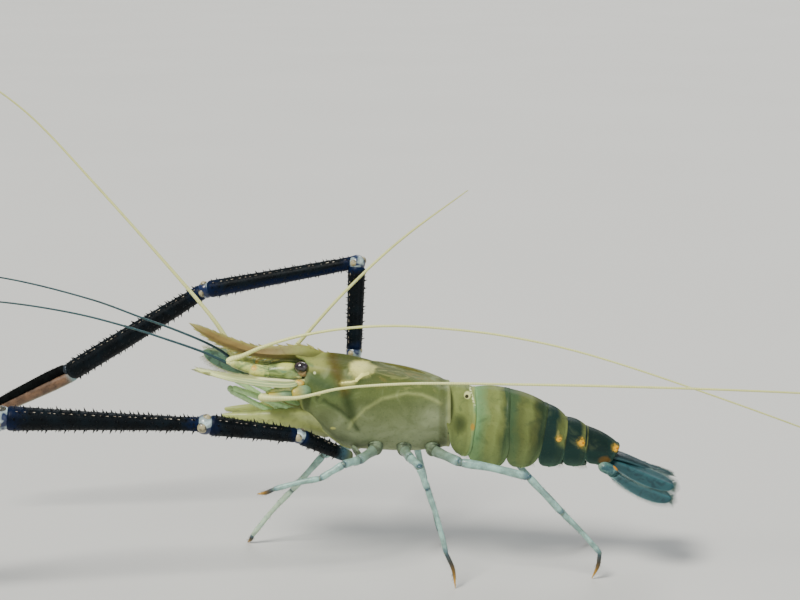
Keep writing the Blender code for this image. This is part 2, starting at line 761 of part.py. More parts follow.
class ArmLine:
    """The middle line and the half thickness of one straight part of an arm."""

    def __init__(self, start, end, girth, swell=1.0):
        self.start = Vector(start)
        self.way = (Vector(end) - self.start).normalized()
        self.length = (Vector(end) - self.start).length - girth[1] * 0.75
        self.girth = girth
        self.swell = swell

    def place(self, share):
        return self.start + self.way * (self.length * share)

    def half(self, share):
        fat = 1.0 + (self.swell - 1.0) * math.sin(math.pi * share)
        return (self.girth[0] + (self.girth[1] - self.girth[0]) * share ** FLARE) * fat


def limb_part(name, line, group, count=7):
    """One straight part of an arm, from joint to joint, with a rounded knob at each end."""
    shares = [i / (count - 1) for i in range(count)]
    stops = [(*line.place(share), line.half(share)) for share in shares]
    return mesh_object(name, loft(tube_rings(round_ended(stops), ARM_SIDES)), group)


def arm_spines(name, line, first, last, group):
    """Staggered rows of spines round an arm part, all leaning towards the claw."""
    draw = random.Random(f"{name}{SPINE_SEED}")
    across = line.way.cross(Vector((0.0, 0.0, 1.0))).normalized()
    over = across.cross(line.way)
    count = round(line.length * (last - first) / SPINE_SPACING)
    places = []
    for row in range(SPINE_ROWS):
        turn = 2 * math.pi * (row + 0.5) / SPINE_ROWS
        out = across * math.cos(turn) + over * math.sin(turn)
        for k in range(count):
            along = (k + 0.25 + 0.5 * (row % 2) + draw.uniform(-0.12, 0.12)) / count
            share = first + (last - first) * along
            lean = (out * 0.70 + line.way * 0.71).normalized()
            sunk = 0.16 * line.half(share)
            length = sunk / 0.70 + SPINE_STANDS * draw.uniform(0.85, 1.15)
            root = line.place(share) + out * (line.half(share) - sunk)
            places.append((root, lean, length, SPINE_HALF_WIDTH))
    return spikes(f"{name}_spines", places, group)


def finger(name, start, tip, girth, hook, group):
    """A finger that tapers to a hooked point; hook is the sideways set of its end."""
    route = [(*(start + (tip - start) * s + hook * bend), girth * fat) for s, fat, bend in FINGER_TAPER]
    return tube(name, route, group, sides=8, count=9)


def claw_teeth(start, tip, girth, over, group):
    """Blunt teeth along the cutting edge of the fixed finger."""
    tapers = [row[:2] for row in FINGER_TAPER]
    places = []
    for k in range(CLAW_TEETH):
        share = 0.16 + 0.52 * k / (CLAW_TEETH - 1)
        thick = girth * eased(tapers, share)[0]
        root = start + (tip - start) * share + over * (thick - 1.2)
        places.append((root, over, 2.1, 1.1))
    return spikes("claw_teeth", places, group)


def build_arm(prawn, label, joints, girths):
    """One long arm: four parts and the moving finger of its claw."""
    lines = [
        ArmLine(joints[n], joints[n + 1], girths[n], PALM_SWELL if part == "palm" else 1.0)
        for n, part in enumerate(ARM_PARTS)
    ]
    rests = label == "left"
    hip = limb_part("hip", ArmLine(HIPS[label], joints[0], HIP_GIRTH), prawn.group, 3)
    prawn.add(limb_part(f"arm_ischium_{label}", lines[0], prawn.group), [hip])
    for name, line, first in (("merus", lines[1], 0.16), ("carpus", lines[2], 0.07)):
        part = f"arm_{name}_{label}"
        prawn.add(
            limb_part(part, line, prawn.group, 9), (),
            [arm_spines(part, line, first, 0.90, prawn.group)],
        )
    palm_line = lines[3]
    palm_end, tip = Vector(joints[4]), Vector(joints[5])
    way = palm_line.way
    over = (Vector((0, 0, 1)) - way * way.z).normalized()
    girth = girths[3][1]
    part = f"arm_palm_{label}"
    low = palm_end - over * girth * FIXED_SET - way * girth * 1.2
    low_tip = tip - over * girth * 0.20
    fixed = finger("fixed_finger", low, low_tip, girth * FIXED_THICK, over * girth * 0.12, prawn.group)
    teeth = claw_teeth(low, low_tip, girth * FIXED_THICK, over, prawn.group)
    prawn.add(
        limb_part(part, palm_line, prawn.group, 9), [fixed, teeth],
        [arm_spines(part, palm_line, 0.07, 0.88, prawn.group)],
        on_floor=rests,
    )
    high = palm_end + over * girth * MOVING_SET - way * girth * 0.6
    high_tip = tip + over * girth * 0.30 + way * 1.5
    prawn.add(
        finger(
            f"arm_finger_{label}", high, high_tip, girth * MOVING_THICK, over * girth * -0.15,
            prawn.group,
        ),
        on_floor=rests,
    )


# Walking legs: root, thigh, knee, wrist, ankle and toe, each along, across, up and half thickness
WALKING_LEGS = {
    "3_left": (
        (-12.0, -9.0, 61.5, 2.6), (-20.0, -19.0, 60.0, 2.2), (-27.0, -27.0, 60.5, 1.9),
        (-38.0, -30.0, 54.5, 1.5), (-60.0, -31.0, 49.5, 1.1), (-68.0, -30.5, 47.0, 0.5),
    ),
    "4_left": (
        (2.0, -9.0, 61.0, 2.6), (5.0, -20.0, 61.5, 2.2), (9.4, -30.0, 60.0, 1.8),
        (13.0, -31.0, 49.5, 1.4), (22.0, -33.0, 18.3, 1.1), (26.6, -32.4, -0.4, 0.7),
    ),
    "5_left": (
        (16.0, -9.0, 61.0, 2.5), (29.0, -22.0, 60.0, 2.1), (61.5, -26.0, 54.0, 1.8),
        (78.0, -25.0, 35.5, 1.4), (96.8, -22.5, 14.4, 1.2), (93.6, -19.5, -0.4, 0.7),
    ),
    "3_right": (
        (-12.0, 9.0, 61.5, 2.6), (-22.0, 17.0, 58.0, 2.2), (-38.8, 20.5, 50.5, 1.9),
        (-54.9, 24.0, 31.0, 1.5), (-76.0, 30.0, 4.6, 1.5), (-78.6, 32.0, -0.4, 0.7),
    ),
    "4_right": (
        (2.0, 9.0, 61.0, 2.6), (5.0, 20.0, 60.0, 2.2), (8.0, 29.0, 54.5, 1.8),
        (12.8, 31.0, 34.0, 1.4), (20.0, 32.6, 7.0, 1.1), (22.4, 33.0, -0.4, 0.7),
    ),
    "5_right": (
        (16.0, 9.0, 61.0, 2.5), (29.0, 22.0, 59.5, 2.1), (54.0, 26.0, 51.0, 1.8),
        (70.0, 28.0, 32.0, 1.4), (91.0, 30.0, 8.5, 1.1), (97.5, 30.6, -0.4, 0.7),
    ),
}


def build_walking_legs(prawn):
    """Six thin legs, each in an upper and a lower length that meet at the knee."""
    for name, stops in WALKING_LEGS.items():
        number, label = name.split("_")
        prawn.add(tube(f"leg_{number}_upper_{label}", stops[:3], prawn.group, LEG_SIDES, 5))
        stands = stops[-1][2] < 0
        prawn.add(
            tube(f"leg_{number}_lower_{label}", stops[2:], prawn.group, LEG_SIDES, 8, end=not stands),
            on_floor=stands,
        )


FINISHES = (
    ("carapace", (0.42, 0.44, 0.22), 0.35),
    ("abdomen", (0.16, 0.30, 0.24), 0.35),
    ("telson", (0.02, 0.07, 0.13), 0.35),
    ("uropod", (0.03, 0.11, 0.18), 0.35),
    ("eyestalk", (0.62, 0.42, 0.30), 0.4),
    ("eye", (0.02, 0.016, 0.02), 0.15),
    ("antennule_inner", (0.05, 0.16, 0.18), 0.35),
    ("antennule", (0.72, 0.74, 0.42), 0.4),
    ("antenna_scale", (0.60, 0.70, 0.50), 0.35),
    ("antenna", (0.80, 0.80, 0.46), 0.4),
    ("maxilliped", (0.52, 0.56, 0.36), 0.4),
    ("first_leg", (0.30, 0.46, 0.36), 0.4),
    ("arm", (0.01, 0.03, 0.08), 0.3),
    ("leg", (0.20, 0.42, 0.52), 0.35),
)


def finish_all(nodes):
    """Gives each node its own material, in the colour of its kind."""
    for name, item in nodes.items():
        kind = next(row for row in FINISHES if name.startswith(row[0]))
        finish(item, shell_material(name, kind[1], kind[2]))


def centre_over_origin(nodes):
    """Sets the middle of the model's box over the origin."""
    boxes = [box_of(item) for item in nodes.values()]
    for axis in (0, 1):
        low = min(box[0][axis] for box in boxes)
        high = max(box[1][axis] for box in boxes)
        for item in nodes.values():
            for corner in item.data.vertices:
                corner.co[axis] -= (low + high) / 2


def main():
    clear_scene()
    prawn = Prawn()
    build_body(prawn)
    build_tail_fan(prawn)
    build_eyes(prawn)
    build_feelers(prawn)
    build_mouthparts(prawn)
    build_arm(prawn, "left", ARM_JOINTS_LEFT, ARM_GIRTH_LEFT)
    build_arm(prawn, "right", ARM_JOINTS_RIGHT, ARM_GIRTH_RIGHT)
    build_walking_legs(prawn)
    prawn.drop_cutters()
    centre_over_origin(prawn.nodes)
    finish_all(prawn.nodes)


main()
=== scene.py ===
"""Giant river prawn: the looks of the still, life-size model.

Shapes are worked out in millimetres along (X), across (Y) and up (Z) the body, with the prawn
facing -X and its left side towards -Y, and are written in metres in the frame of the solids.
"""
import math
import random
from bisect import bisect_right

import bmesh
import bpy
from bpy.props import FloatProperty, FloatVectorProperty, IntProperty, PointerProperty
from mathutils import Matrix, Vector


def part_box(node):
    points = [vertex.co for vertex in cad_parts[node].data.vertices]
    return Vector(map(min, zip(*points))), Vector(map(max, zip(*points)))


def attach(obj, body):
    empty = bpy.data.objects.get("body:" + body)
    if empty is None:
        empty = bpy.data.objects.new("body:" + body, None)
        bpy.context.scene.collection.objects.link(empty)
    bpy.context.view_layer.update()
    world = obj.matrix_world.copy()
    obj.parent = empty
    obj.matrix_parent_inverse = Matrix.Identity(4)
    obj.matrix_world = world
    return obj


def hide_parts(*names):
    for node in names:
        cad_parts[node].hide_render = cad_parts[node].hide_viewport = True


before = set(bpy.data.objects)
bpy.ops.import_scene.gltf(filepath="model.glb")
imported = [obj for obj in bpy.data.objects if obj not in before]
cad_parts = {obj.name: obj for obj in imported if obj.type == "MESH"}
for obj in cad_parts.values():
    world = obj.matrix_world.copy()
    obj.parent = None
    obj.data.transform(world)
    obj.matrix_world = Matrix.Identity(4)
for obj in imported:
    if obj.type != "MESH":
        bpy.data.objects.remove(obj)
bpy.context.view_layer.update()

bl_info = {
    "name": "Giant river prawn",
    "version": (1, 0, 0),
    "blender": (4, 5, 0),
    "location": "3D View > Sidebar > Prawn",
    "description": "Builds the shell, limbs and feelers of a life-size river prawn",
    "category": "Object",
}

MM = 0.001
MERGE = 0.002
BODY = "root"
SURFACE_MAP = "surface"
BAKE_MAP = "OFBake"
BAKE_PATCH = 0.0015

LEFT = -1
RIGHT = 1
SIDES = ((LEFT, "left"), (RIGHT, "right"))
UP = Vector((0, 0, 1))
ACROSS = Vector((0, 1, 0))

# The left eye's middle in the body's own millimetres ties them to the frame of the solids
EYE_CENTRE = Vector((-47.6, -9.2, 103.9))
EYE_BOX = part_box("eye_left")
SHIFT = (EYE_BOX[0] + EYE_BOX[1]) / 2 / MM - EYE_CENTRE
# The floor's height on the body's own frame
FLOOR = -SHIFT.z


class Curve:
    """A smooth curve through knots, each a place and then one value or more."""

    def __init__(self, knots):
        self.knots = sorted(knots)
        self.places = [knot[0] for knot in self.knots]

    def at(self, place):
        knots, last = self.knots, len(self.knots) - 1
        if place <= self.places[0]:
            return list(knots[0][1:])
        if place >= self.places[-1]:
            return list(knots[-1][1:])
        i = bisect_right(self.places, place) - 1
        p0, p1, p2, p3 = (knots[min(max(k, 0), last)] for k in (i - 1, i, i + 1, i + 2))
        width = p2[0] - p1[0]
        t = (place - p1[0]) / width
        held, leaving = 2 * t**3 - 3 * t**2 + 1, t**3 - 2 * t**2 + t
        taken, arriving = 3 * t**2 - 2 * t**3, t**3 - t**2
        values = []
        for n in range(1, len(p1)):
            slope_in = (p2[n] - p0[n]) / (p2[0] - p0[0]) * width
            slope_out = (p3[n] - p1[n]) / (p3[0] - p1[0]) * width
            values.append(held * p1[n] + leaving * slope_in + taken * p2[n] + arriving * slope_out)
        return values


class Route:
    """A smooth path through (x, y, z, half thickness) stops."""

    def __init__(self, stops, up=UP):
        travelled = [0]
        for a, b in zip(stops, stops[1:]):
            travelled.append(travelled[-1] + (Vector(b[:3]) - Vector(a[:3])).length)
        self.length = travelled[-1]
        self.curve = Curve([(far, *stop) for far, stop in zip(travelled, stops)])
        self.up = Vector(up)

    def centre(self, share):
        return Vector(self.curve.at(share * self.length)[:3])

    def half(self, share):
        return self.curve.at(share * self.length)[3]

    def frame(self, share):
        """Middle, way ahead, way across, way over and half thickness at one share of the path."""
        step = 0.01
        ahead = (self.centre(min(share + step, 1)) - self.centre(max(share - step, 0))).normalized()
        across = ahead.cross(self.up)
        if across.length < 0.15:
            across = ahead.cross(ACROSS)
        across.normalize()
        return self.centre(share), ahead, across, across.cross(ahead), self.half(share)


def on_side(stops, side):
    """Left-hand stops carried to the asked side of the body."""
    return [(stop[0], stop[1] if side == LEFT else -stop[1], *stop[2:]) for stop in stops]


def length_of(name):
    """One of the user's lengths, in millimetres."""
    return getattr(bpy.context.scene.prawn_sizes, name) / MM


def carried(point, side):
    """A left-hand point or way carried to the asked side, as a vector."""
    return Vector(on_side([point], side)[0])


def between(a, b, share):
    return tuple(p + (q - p) * share for p, q in zip(a, b))


def bell(value, centre, width):
    """1 at the centre, falling away on both sides within about the width."""
    return math.exp(-(((value - centre) / width) ** 2))


def eased_step(value, low, high):
    t = min(max((value - low) / (high - low), 0), 1)
    return t * t * (3 - 2 * t)


def round_place(j, around):
    """Share of the height, and side of the body, at one station round a closed section."""
    angle = math.tau * j / around
    return (1 - math.cos(angle)) / 2, LEFT if angle < math.pi else RIGHT


def line_distance(points, x, z):
    """Distance in the side view from a point to a line of (x, z) points."""
    best = 1e9
    for (ax, az), (bx, bz) in zip(points, points[1:]):
        dx, dz = bx - ax, bz - az
        t = min(max(((x - ax) * dx + (z - az) * dz) / (dx * dx + dz * dz), 0), 1)
        best = min(best, math.hypot(x - ax - dx * t, z - az - dz * t))
    return best


def dome_stations(length, start, end, along, steps=5):
    """(share, thickness factor) pairs down a tube whose ends close in domes of these half widths."""
    turns = [math.pi / 2 * k / steps for k in range(steps + 1)]
    start, end = min(start, length * 0.3), min(end, length * 0.3)
    first = [(start / length * (1 - math.cos(a)), math.sin(a)) for a in turns]
    last = [(1 - end / length * (1 - math.cos(a)), math.sin(a)) for a in reversed(turns)]
    low, high = first[-1][0], last[0][0]
    middle = [(low + (high - low) * k / along, 1) for k in range(1, along)]
    return first + middle + last


class Piece:
    """One visible piece while it is shaped, in millimetres of the body."""

    def __init__(self, marks=(), bristly=False):
        self.bm = bmesh.new()
        self.map = self.bm.loops.layers.uv.new(BAKE_MAP if bristly else SURFACE_MAP)
        self.marks = [self.bm.verts.layers.float.new(mark) for mark in marks]

    def sheet(self, along, around, place):
        """A grid of cells whose corners place(i, j) sets; corners that meet are merged."""
        made = bmesh.ops.create_grid(self.bm, x_segments=along, y_segments=around, size=0.5)["verts"]
        for corner in made:
            i = round((corner.co.x + 0.5) * along)
            j = round((corner.co.y + 0.5) * around)
            point, share, *tones = place(i, j)
            for loop in corner.link_loops:
                loop[self.map].uv = (share, j / around)
            for mark, tone in zip(self.marks, tones):
                corner[mark] = tone
            corner.co = point
        bmesh.ops.remove_doubles(self.bm, verts=made, dist=MERGE)

    def tube(self, route, along=40, around=24, squash=1, swell=None, ends=(1, 1)):
        """A round form down a route; swell(share, turn) scales its half thickness."""
        stations = dome_stations(route.length, route.half(0) * ends[0], route.half(1) * ends[1], along)
        frames = [route.frame(share) for share, _ in stations]

        def place(i, j):
            share, factor = stations[i]
            middle, _, across, over, half = frames[i]
            turn = math.tau * j / around
            half *= factor * (swell(share, turn) if swell else 1)
            side = across * (half * math.cos(turn)) + over * (half * squash * math.sin(turn))
            return middle + side, share

        self.sheet(len(stations) - 1, around, place)

    def ball(self, centre, radii, segments=24, rings=16, turn=None):
        """An egg shape of three radii about a centre."""
        matrix = Matrix.Translation(centre) @ (turn or Matrix()) @ Matrix.Diagonal((*radii, 1))
        bmesh.ops.create_uvsphere(self.bm, u_segments=segments, v_segments=rings, radius=1, matrix=matrix)

    def spike(self, root, way, length, half, sides=4, flat=1, mark=(0, 0), tip=0.12):
        """A tapering spine or bristle; flat is its width across the body over its other width."""
        turn = UP.rotation_difference(way).to_matrix().to_4x4()
        matrix = Matrix.Translation(root + way * (length / 2)) @ Matrix.Diagonal((1, flat, 1, 1)) @ turn
        made = bmesh.ops.create_cone(
            self.bm, cap_ends=True, segments=sides, radius1=half, radius2=half * tip,
            depth=length, matrix=matrix,
        )["verts"]
        for number, corner in enumerate(made):
            turn = math.tau * number / len(made)
            spot = (mark[0] + BAKE_PATCH * math.cos(turn), mark[1] + BAKE_PATCH * math.sin(turn))
            for loop in corner.link_loops:
                loop[self.map].uv = spot

    def show(self, name, paint, slot, *nodes, sharp=50):
        """Writes the piece in metres, in the frame of the solids, and hides the nodes it stands for."""
        bmesh.ops.recalc_face_normals(self.bm, faces=self.bm.faces)
        bmesh.ops.translate(self.bm, verts=self.bm.verts, vec=SHIFT)
        bmesh.ops.scale(self.bm, verts=self.bm.verts, vec=(MM, MM, MM))
        mesh = bpy.data.meshes.new(name)
        self.bm.to_mesh(mesh)
        self.bm.free()
        mesh.materials.append(PAINTS[paint])
        mesh.shade_smooth()
        mesh.set_sharp_from_angle(angle=math.radians(sharp))
        item = bpy.data.objects.new(name, mesh)
        bpy.context.scene.collection.objects.link(item)
        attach(item, BODY)
        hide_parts(*nodes)
        return item


def limb(name, stops, paint, slot, *nodes, **form):
    """A round piece down a list of stops, shown at once."""
    piece = Piece()
    piece.tube(Route(stops), **form)
    piece.show(name, paint, slot, *nodes)


# How much deeper and richer the colours are set, for the soft response of the studio view
TONE_DEPTH = 1.18
TONE_RICHNESS = 1.06


def arithmetic(operation, flipped=False):
    """A method of Value that adds a Math node, with the operands the other way round when flipped."""

    def method(self, other=0):
        first, second = (other, self) if flipped else (self, other)
        return self.paint.node("ShaderNodeMath", {"operation": operation}, {0: first, 1: second})

    return method


class Value:
    """A number, colour or vector that varies over a surface; arithmetic adds Math nodes."""

    __add__, __radd__ = arithmetic("ADD"), arithmetic("ADD", True)
    __sub__, __rsub__ = arithmetic("SUBTRACT"), arithmetic("SUBTRACT", True)
    __mul__, __rmul__ = arithmetic("MULTIPLY"), arithmetic("MULTIPLY", True)
    __truediv__, __pow__ = arithmetic("DIVIDE"), arithmetic("POWER")
    __abs__, sine, most = arithmetic("ABSOLUTE"), arithmetic("SINE"), arithmetic("MAXIMUM")

    def __init__(self, paint, socket):
        self.paint = paint
        self.socket = socket

    def step(self, low, high):
        """0 below low, 1 above high, and smooth between; low may be the larger."""
        return self.paint.node(
            "ShaderNodeMapRange", {"interpolation_type": "SMOOTHSTEP"},
            {"Value": self, "From Min": low, "From Max": high},
        )


def hue(name, strength=1):
    """A colour of the user's, made lighter or darker by a factor."""
    return tuple(min(part * strength, 1) for part in getattr(bpy.context.scene.prawn_look, name))


def tone_of(tone):
    """A tone as it stands, or a colour of the user's by its name and strength."""
    return hue(*tone) if isinstance(tone[0], str) else tone


class Paint:
    """The nodes of one material, on the body's own millimetres."""

    def __init__(self, name, roughness=0.4, coat=0, flesh=0, specular=0.4):
        self.material = bpy.data.materials.new(name)
        self.material.use_nodes = True
        self.tree = self.material.node_tree
        self.shader = self.tree.nodes["Principled BSDF"]
        fixed = {
            "Roughness": roughness, "Coat Weight": coat, "Coat Roughness": 0.12,
            "Specular IOR Level": specular, "Subsurface Weight": flesh, "Subsurface Scale": 0.003,
        }
        for socket, value in fixed.items():
            self.shader.inputs[socket].default_value = value
        self.shader.inputs["Subsurface Radius"].default_value = (1, 0.8, 0.45)
        self.spot = None
        self.colour = None

    def node(self, kind, settings=None, values=None, output=0):
        """Adds one node with its settings and the values or links of its sockets."""
        node = self.tree.nodes.new(kind)
        for key, value in (settings or {}).items():
            setattr(node, key, value)
        for key, value in (values or {}).items():
            self.feed(node.inputs[key], value)
        return Value(self, node.outputs[output])

    def feed(self, socket, value):
        if isinstance(value, Value):
            self.tree.links.new(value.socket, socket)
        elif socket.type == "RGBA":
            socket.default_value = (*tone_of(value), 1)
        else:
            socket.default_value = value

    def vector(self, operation, first, second):
        return self.node("ShaderNodeVectorMath", {"operation": operation}, {0: first, 1: second})

    def place(self):
        """Where a point lies, in the body's millimetres."""
        if self.spot is None:
            metres = self.node("ShaderNodeTexCoord", output=3)
            self.spot = self.vector("SUBTRACT", self.vector("DIVIDE", metres, (MM, MM, MM)), tuple(SHIFT))
        return self.spot

    def split(self, vector, axis):
        return self.node("ShaderNodeSeparateXYZ", None, {0: vector}, axis)

    def along(self):
        return self.split(self.place(), 0)

    def across(self):
        return abs(self.split(self.place(), 1))

    def height(self):
        return self.split(self.place(), 2)

    def share(self):
        """How far down its own piece a point lies, from 0 to 1."""
        return self.split(self.node("ShaderNodeUVMap", {"uv_map": SURFACE_MAP}), 0)

    def turn(self):
        """How far round its own piece a point lies, from 0 to 1."""
        return self.split(self.node("ShaderNodeUVMap", {"uv_map": SURFACE_MAP}), 1)

    def mark(self, name):
        return self.node("ShaderNodeAttribute", {"attribute_name": name}, None, 2)

    def noise(self, size, detail=3, stretch=(1, 1, 1), warp=0):
        """Cloudy variation of a size in millimetres, from 0 to 1."""
        scaled = self.vector("MULTIPLY", self.place(), tuple(s / size for s in stretch))
        return self.node(
            "ShaderNodeTexNoise", None,
            {"Vector": scaled, "Scale": 1, "Detail": detail, "Distortion": warp},
        )

    def cells(self, size):
        """Distance from the middles of small cells of a size in millimetres."""
        scaled = self.vector("MULTIPLY", self.place(), (1 / size, 1 / size, 1 / size))
        return self.node("ShaderNodeTexVoronoi", None, {"Vector": scaled, "Scale": 1})

    def spot_mask(self, centre, radii, soft=0.4):
        """1 inside an egg shape that both sides of the body share, 0 outside it."""
        parts = [
            ((value - middle) / radius) ** 2
            for value, middle, radius in zip((self.along(), self.across(), self.height()), centre, radii)
        ]
        return (parts[0] + parts[1] + parts[2]).step(1 + soft, 1 - soft)

    def stroke(self, a, b, width, soft):
        """1 along a straight mark of the side view, from (x, z) to (x, z), 0 beyond its width."""
        x, z = self.along(), self.height()
        dx, dz = b[0] - a[0], b[1] - a[1]
        length = math.hypot(dx, dz)
        far = ((x - a[0]) * dx + (z - a[1]) * dz) / length
        off = abs(((x - a[0]) * dz - (z - a[1]) * dx) / length)
        beyond = (far * -1).most(far - length).most(0)
        return (off + beyond).step(width + soft, width - soft)

    def band(self, value, low, high, soft):
        return value.step(low - soft, low + soft) * value.step(high + soft, high - soft)

    def ramp(self, value, *stops):
        """Colour stops along a value, each a place and then a tone."""
        shaded = self.node("ShaderNodeValToRGB", None, {0: value})
        elements = shaded.socket.node.color_ramp.elements
        while len(elements) < len(stops):
            elements.new(1)
        for element, (place, *tone) in zip(elements, stops):
            element.position = place
            element.color = (*tone_of(tone), 1)
        return shaded

    def mix(self, factor, a, b):
        return self.node("ShaderNodeMix", {"data_type": "RGBA"}, {0: factor, 6: a, 7: b}, 2)

    def lay(self, mask, tone):
        """Lays a tone over the colour so far, where the mask is 1."""
        self.colour = self.mix(mask, self.colour, tone)

    def spots(self, rows):
        """Lays the spots of a table: middle, radii, softness, strength and tone."""
        for centre, radii, soft, strength, tone in rows:
            self.lay(self.spot_mask(centre, radii, soft) * strength, tone)

    def strokes(self, rows):
        """Lays the straight marks of a table: two ends, width, softness, strength and tone."""
        for a, b, width, soft, strength, tone in rows:
            self.lay(self.stroke(a, b, width, soft) * strength, tone)

    def done(self, roughness=None, height=None, depth=0.1):
        """Feeds the shader; depth is the relief's depth in millimetres."""
        deep = self.node("ShaderNodeGamma", None, {"Color": self.colour, "Gamma": TONE_DEPTH})
        rich = self.node("ShaderNodeHueSaturation", None, {"Color": deep, "Saturation": TONE_RICHNESS})
        self.feed(self.shader.inputs["Base Color"], rich)
        if roughness is not None:
            self.feed(self.shader.inputs["Roughness"], roughness)
        if height is not None:
            bump = self.node(
                "ShaderNodeBump", None, {"Height": height, "Strength": 1, "Distance": depth * MM}
            )
            self.feed(self.shader.inputs["Normal"], bump)
        return self.material


# Closed shell of the head end: along, then top, lower line and half width
SHELL = Curve([
    (-58, 109.6, 62, 5), (-52, 108.8, 62, 7.6), (-48, 108.2, 62, 9.8), (-44, 107.8, 61.6, 11.4),
    (-38, 107.6, 61.2, 13.4), (-29, 106.9, 60.8, 15.4), (-20, 105.2, 60.4, 16.4), (-9, 103.1, 59.8, 16.8),
    (3, 100.8, 59.4, 16.8), (13, 98, 60, 16.4), (20, 95.2, 61, 15.8), (24.6, 93.2, 61.8, 15.3),
])
# Share of the half width at each share of the height
SHELL_PROFILE = Curve([
    (0, 0), (0.02, 0.16), (0.09, 0.4), (0.23, 0.68), (0.42, 0.9), (0.62, 1), (0.8, 0.97), (0.93, 0.8),
    (0.985, 0.45), (1, 0),
])
# Front edge of the shell: height, then along
FRONT_EDGE = Curve([
    (59, -10), (61.3, -24.7), (65.8, -31.9), (72.9, -39.6), (78.9, -45.8), (82.9, -48.1), (86.4, -48.6),
    (89.3, -47.6), (93, -46.3), (96.4, -46), (98.6, -45.2), (101, -44.9), (103.4, -45.2), (105.2, -47),
    (106, -54),
])
SHELL_REAR = 24.4
# Rows that roll an edge of the shell inwards: along from the edge, then in from the surface
EDGE_ROLL = ((6, -2.6), (2.6, -1.9), (0.6, -1.35), (0, -0.95), (-0.12, -0.5), (0.08, -0.12), (0.5, 0))
GILL_RIDGE = (
    (-24.7, 74), (-22.6, 78.4), (-20.2, 80.9), (-16.8, 84.9), (-8.6, 90.1), (3.4, 92.9), (10.5, 91.9),
    (16.3, 89.4), (19.7, 87.4),
)
CHEEK_GROOVE = ((-36.5, 88), (-34.6, 86.6), (-28.8, 83.6), (-23.6, 78.7), (-20.5, 73))
NECK_GROOVE = ((-23.6, 78.7), (-25.4, 86), (-23, 93.5), (-17.5, 99.5), (-13, 104))
# Width and height of each raised or sunken line of the shell
RIDGE_WIDTH, RIDGE_RISE = 0.9, 0.3
GROOVE_WIDTH, GROOVE_DEPTH = 1.2, 0.65
NECK_WIDTH, NECK_DEPTH = 1.8, 0.3
# The edge's rim and the furrow behind it: distance from the edge, width and height
RIM_PLACE, RIM_WIDTH, RIM_RISE = 0.5, 0.7, 0.3
FURROW_PLACE, FURROW_WIDTH, FURROW_DEPTH = 3, 1.2, 0.25
RIM_TOP = (95, 99)
KEEL_HEIGHT, KEEL_WIDTH = 1.6, 2.2
KEEL_ALONG = (8, -26)
SHELL_FOOT, SHELL_RISE = 60.5, 45.6
SHELL_MAP_START, SHELL_MAP_LENGTH = -50, 80
SHELL_AROUND = 180


def shell_surface(x, share, side, lift=0):
    """A point of the head shell, lifted along its outward way in the cross section."""
    top, low, half = SHELL.at(x)
    step = 0.012
    widths = [half * SHELL_PROFILE.at(s)[0] for s in (max(share - step, 0), min(share + step, 1))]
    rise = (top - low) * (min(share + step, 1) - max(share - step, 0))
    slope = Vector((rise, widths[0] - widths[1])).normalized()
    width = half * SHELL_PROFILE.at(share)[0]
    keel = KEEL_HEIGHT * bell(width, 0, KEEL_WIDTH) * eased_step(x, *KEEL_ALONG) * eased_step(share, 0.6, 0.9)
    y = side * max(width + slope.x * lift, 0)
    return Vector((x, y, low + (top - low) * share + slope.y * lift + keel))


def build_head_shell():
    """The closed shell, its edges rolled inwards; marks tell its paint where the lines run."""
    piece = Piece(marks=("ridge", "groove", "rim"))
    along, around = bpy.context.scene.prawn_sizes.shell_cells, SHELL_AROUND
    rolled = len(EDGE_ROLL)
    total = along + 2 * rolled

    def place(i, j):
        share, side = round_place(j, around)
        front = FRONT_EDGE.at(SHELL_FOOT + SHELL_RISE * share)[0]
        lift = 0
        if i < rolled:
            offset, lift = EDGE_ROLL[i]
            x = front + offset
        elif i > total - rolled:
            offset, lift = EDGE_ROLL[total - i]
            x = SHELL_REAR - offset
        else:
            part = (i - rolled) / along
            start = front + EDGE_ROLL[-1][0]
            x = start + (SHELL_REAR - EDGE_ROLL[-1][0] - start) * part
        height = shell_surface(x, share, side).z
        ridge = bell(line_distance(GILL_RIDGE, x, height), 0, RIDGE_WIDTH)
        groove = bell(line_distance(CHEEK_GROOVE, x, height), 0, GROOVE_WIDTH)
        neck = bell(line_distance(NECK_GROOVE, x, height), 0, NECK_WIDTH)
        from_edge = min(x - front, SHELL_REAR - x)
        rim = bell(from_edge, RIM_PLACE, RIM_WIDTH)
        furrow = bell(from_edge, FURROW_PLACE, FURROW_WIDTH)
        lift += RIDGE_RISE * ridge - GROOVE_DEPTH * groove - NECK_DEPTH * neck
        lift += (RIM_RISE * rim - FURROW_DEPTH * furrow) * (1 - eased_step(height, *RIM_TOP))
        map_place = (x - SHELL_MAP_START) / SHELL_MAP_LENGTH
        return shell_surface(x, share, side, lift), map_place, ridge, max(groove, 0.6 * neck), rim

    piece.sheet(total, around, place)
    piece.show("carapace_shell", "shell", "shell_olive", "carapace")


# Inner body of the head end: along, then top, underside and half width
HEAD_CORE = Curve([
    (-47, 100.5, 88, 5), (-43, 102.5, 79, 8.6), (-38, 104.5, 71.5, 10.8), (-30, 104.5, 66, 12.8),
    (-20, 103.4, 62.4, 14.4), (-9, 101.3, 61.2, 15), (3, 99, 60.8, 15), (13, 96.2, 61.4, 14.6),
    (21, 92.6, 62.6, 13.6),
])
CORE_FRONT = -47
CORE_LENGTH = 68


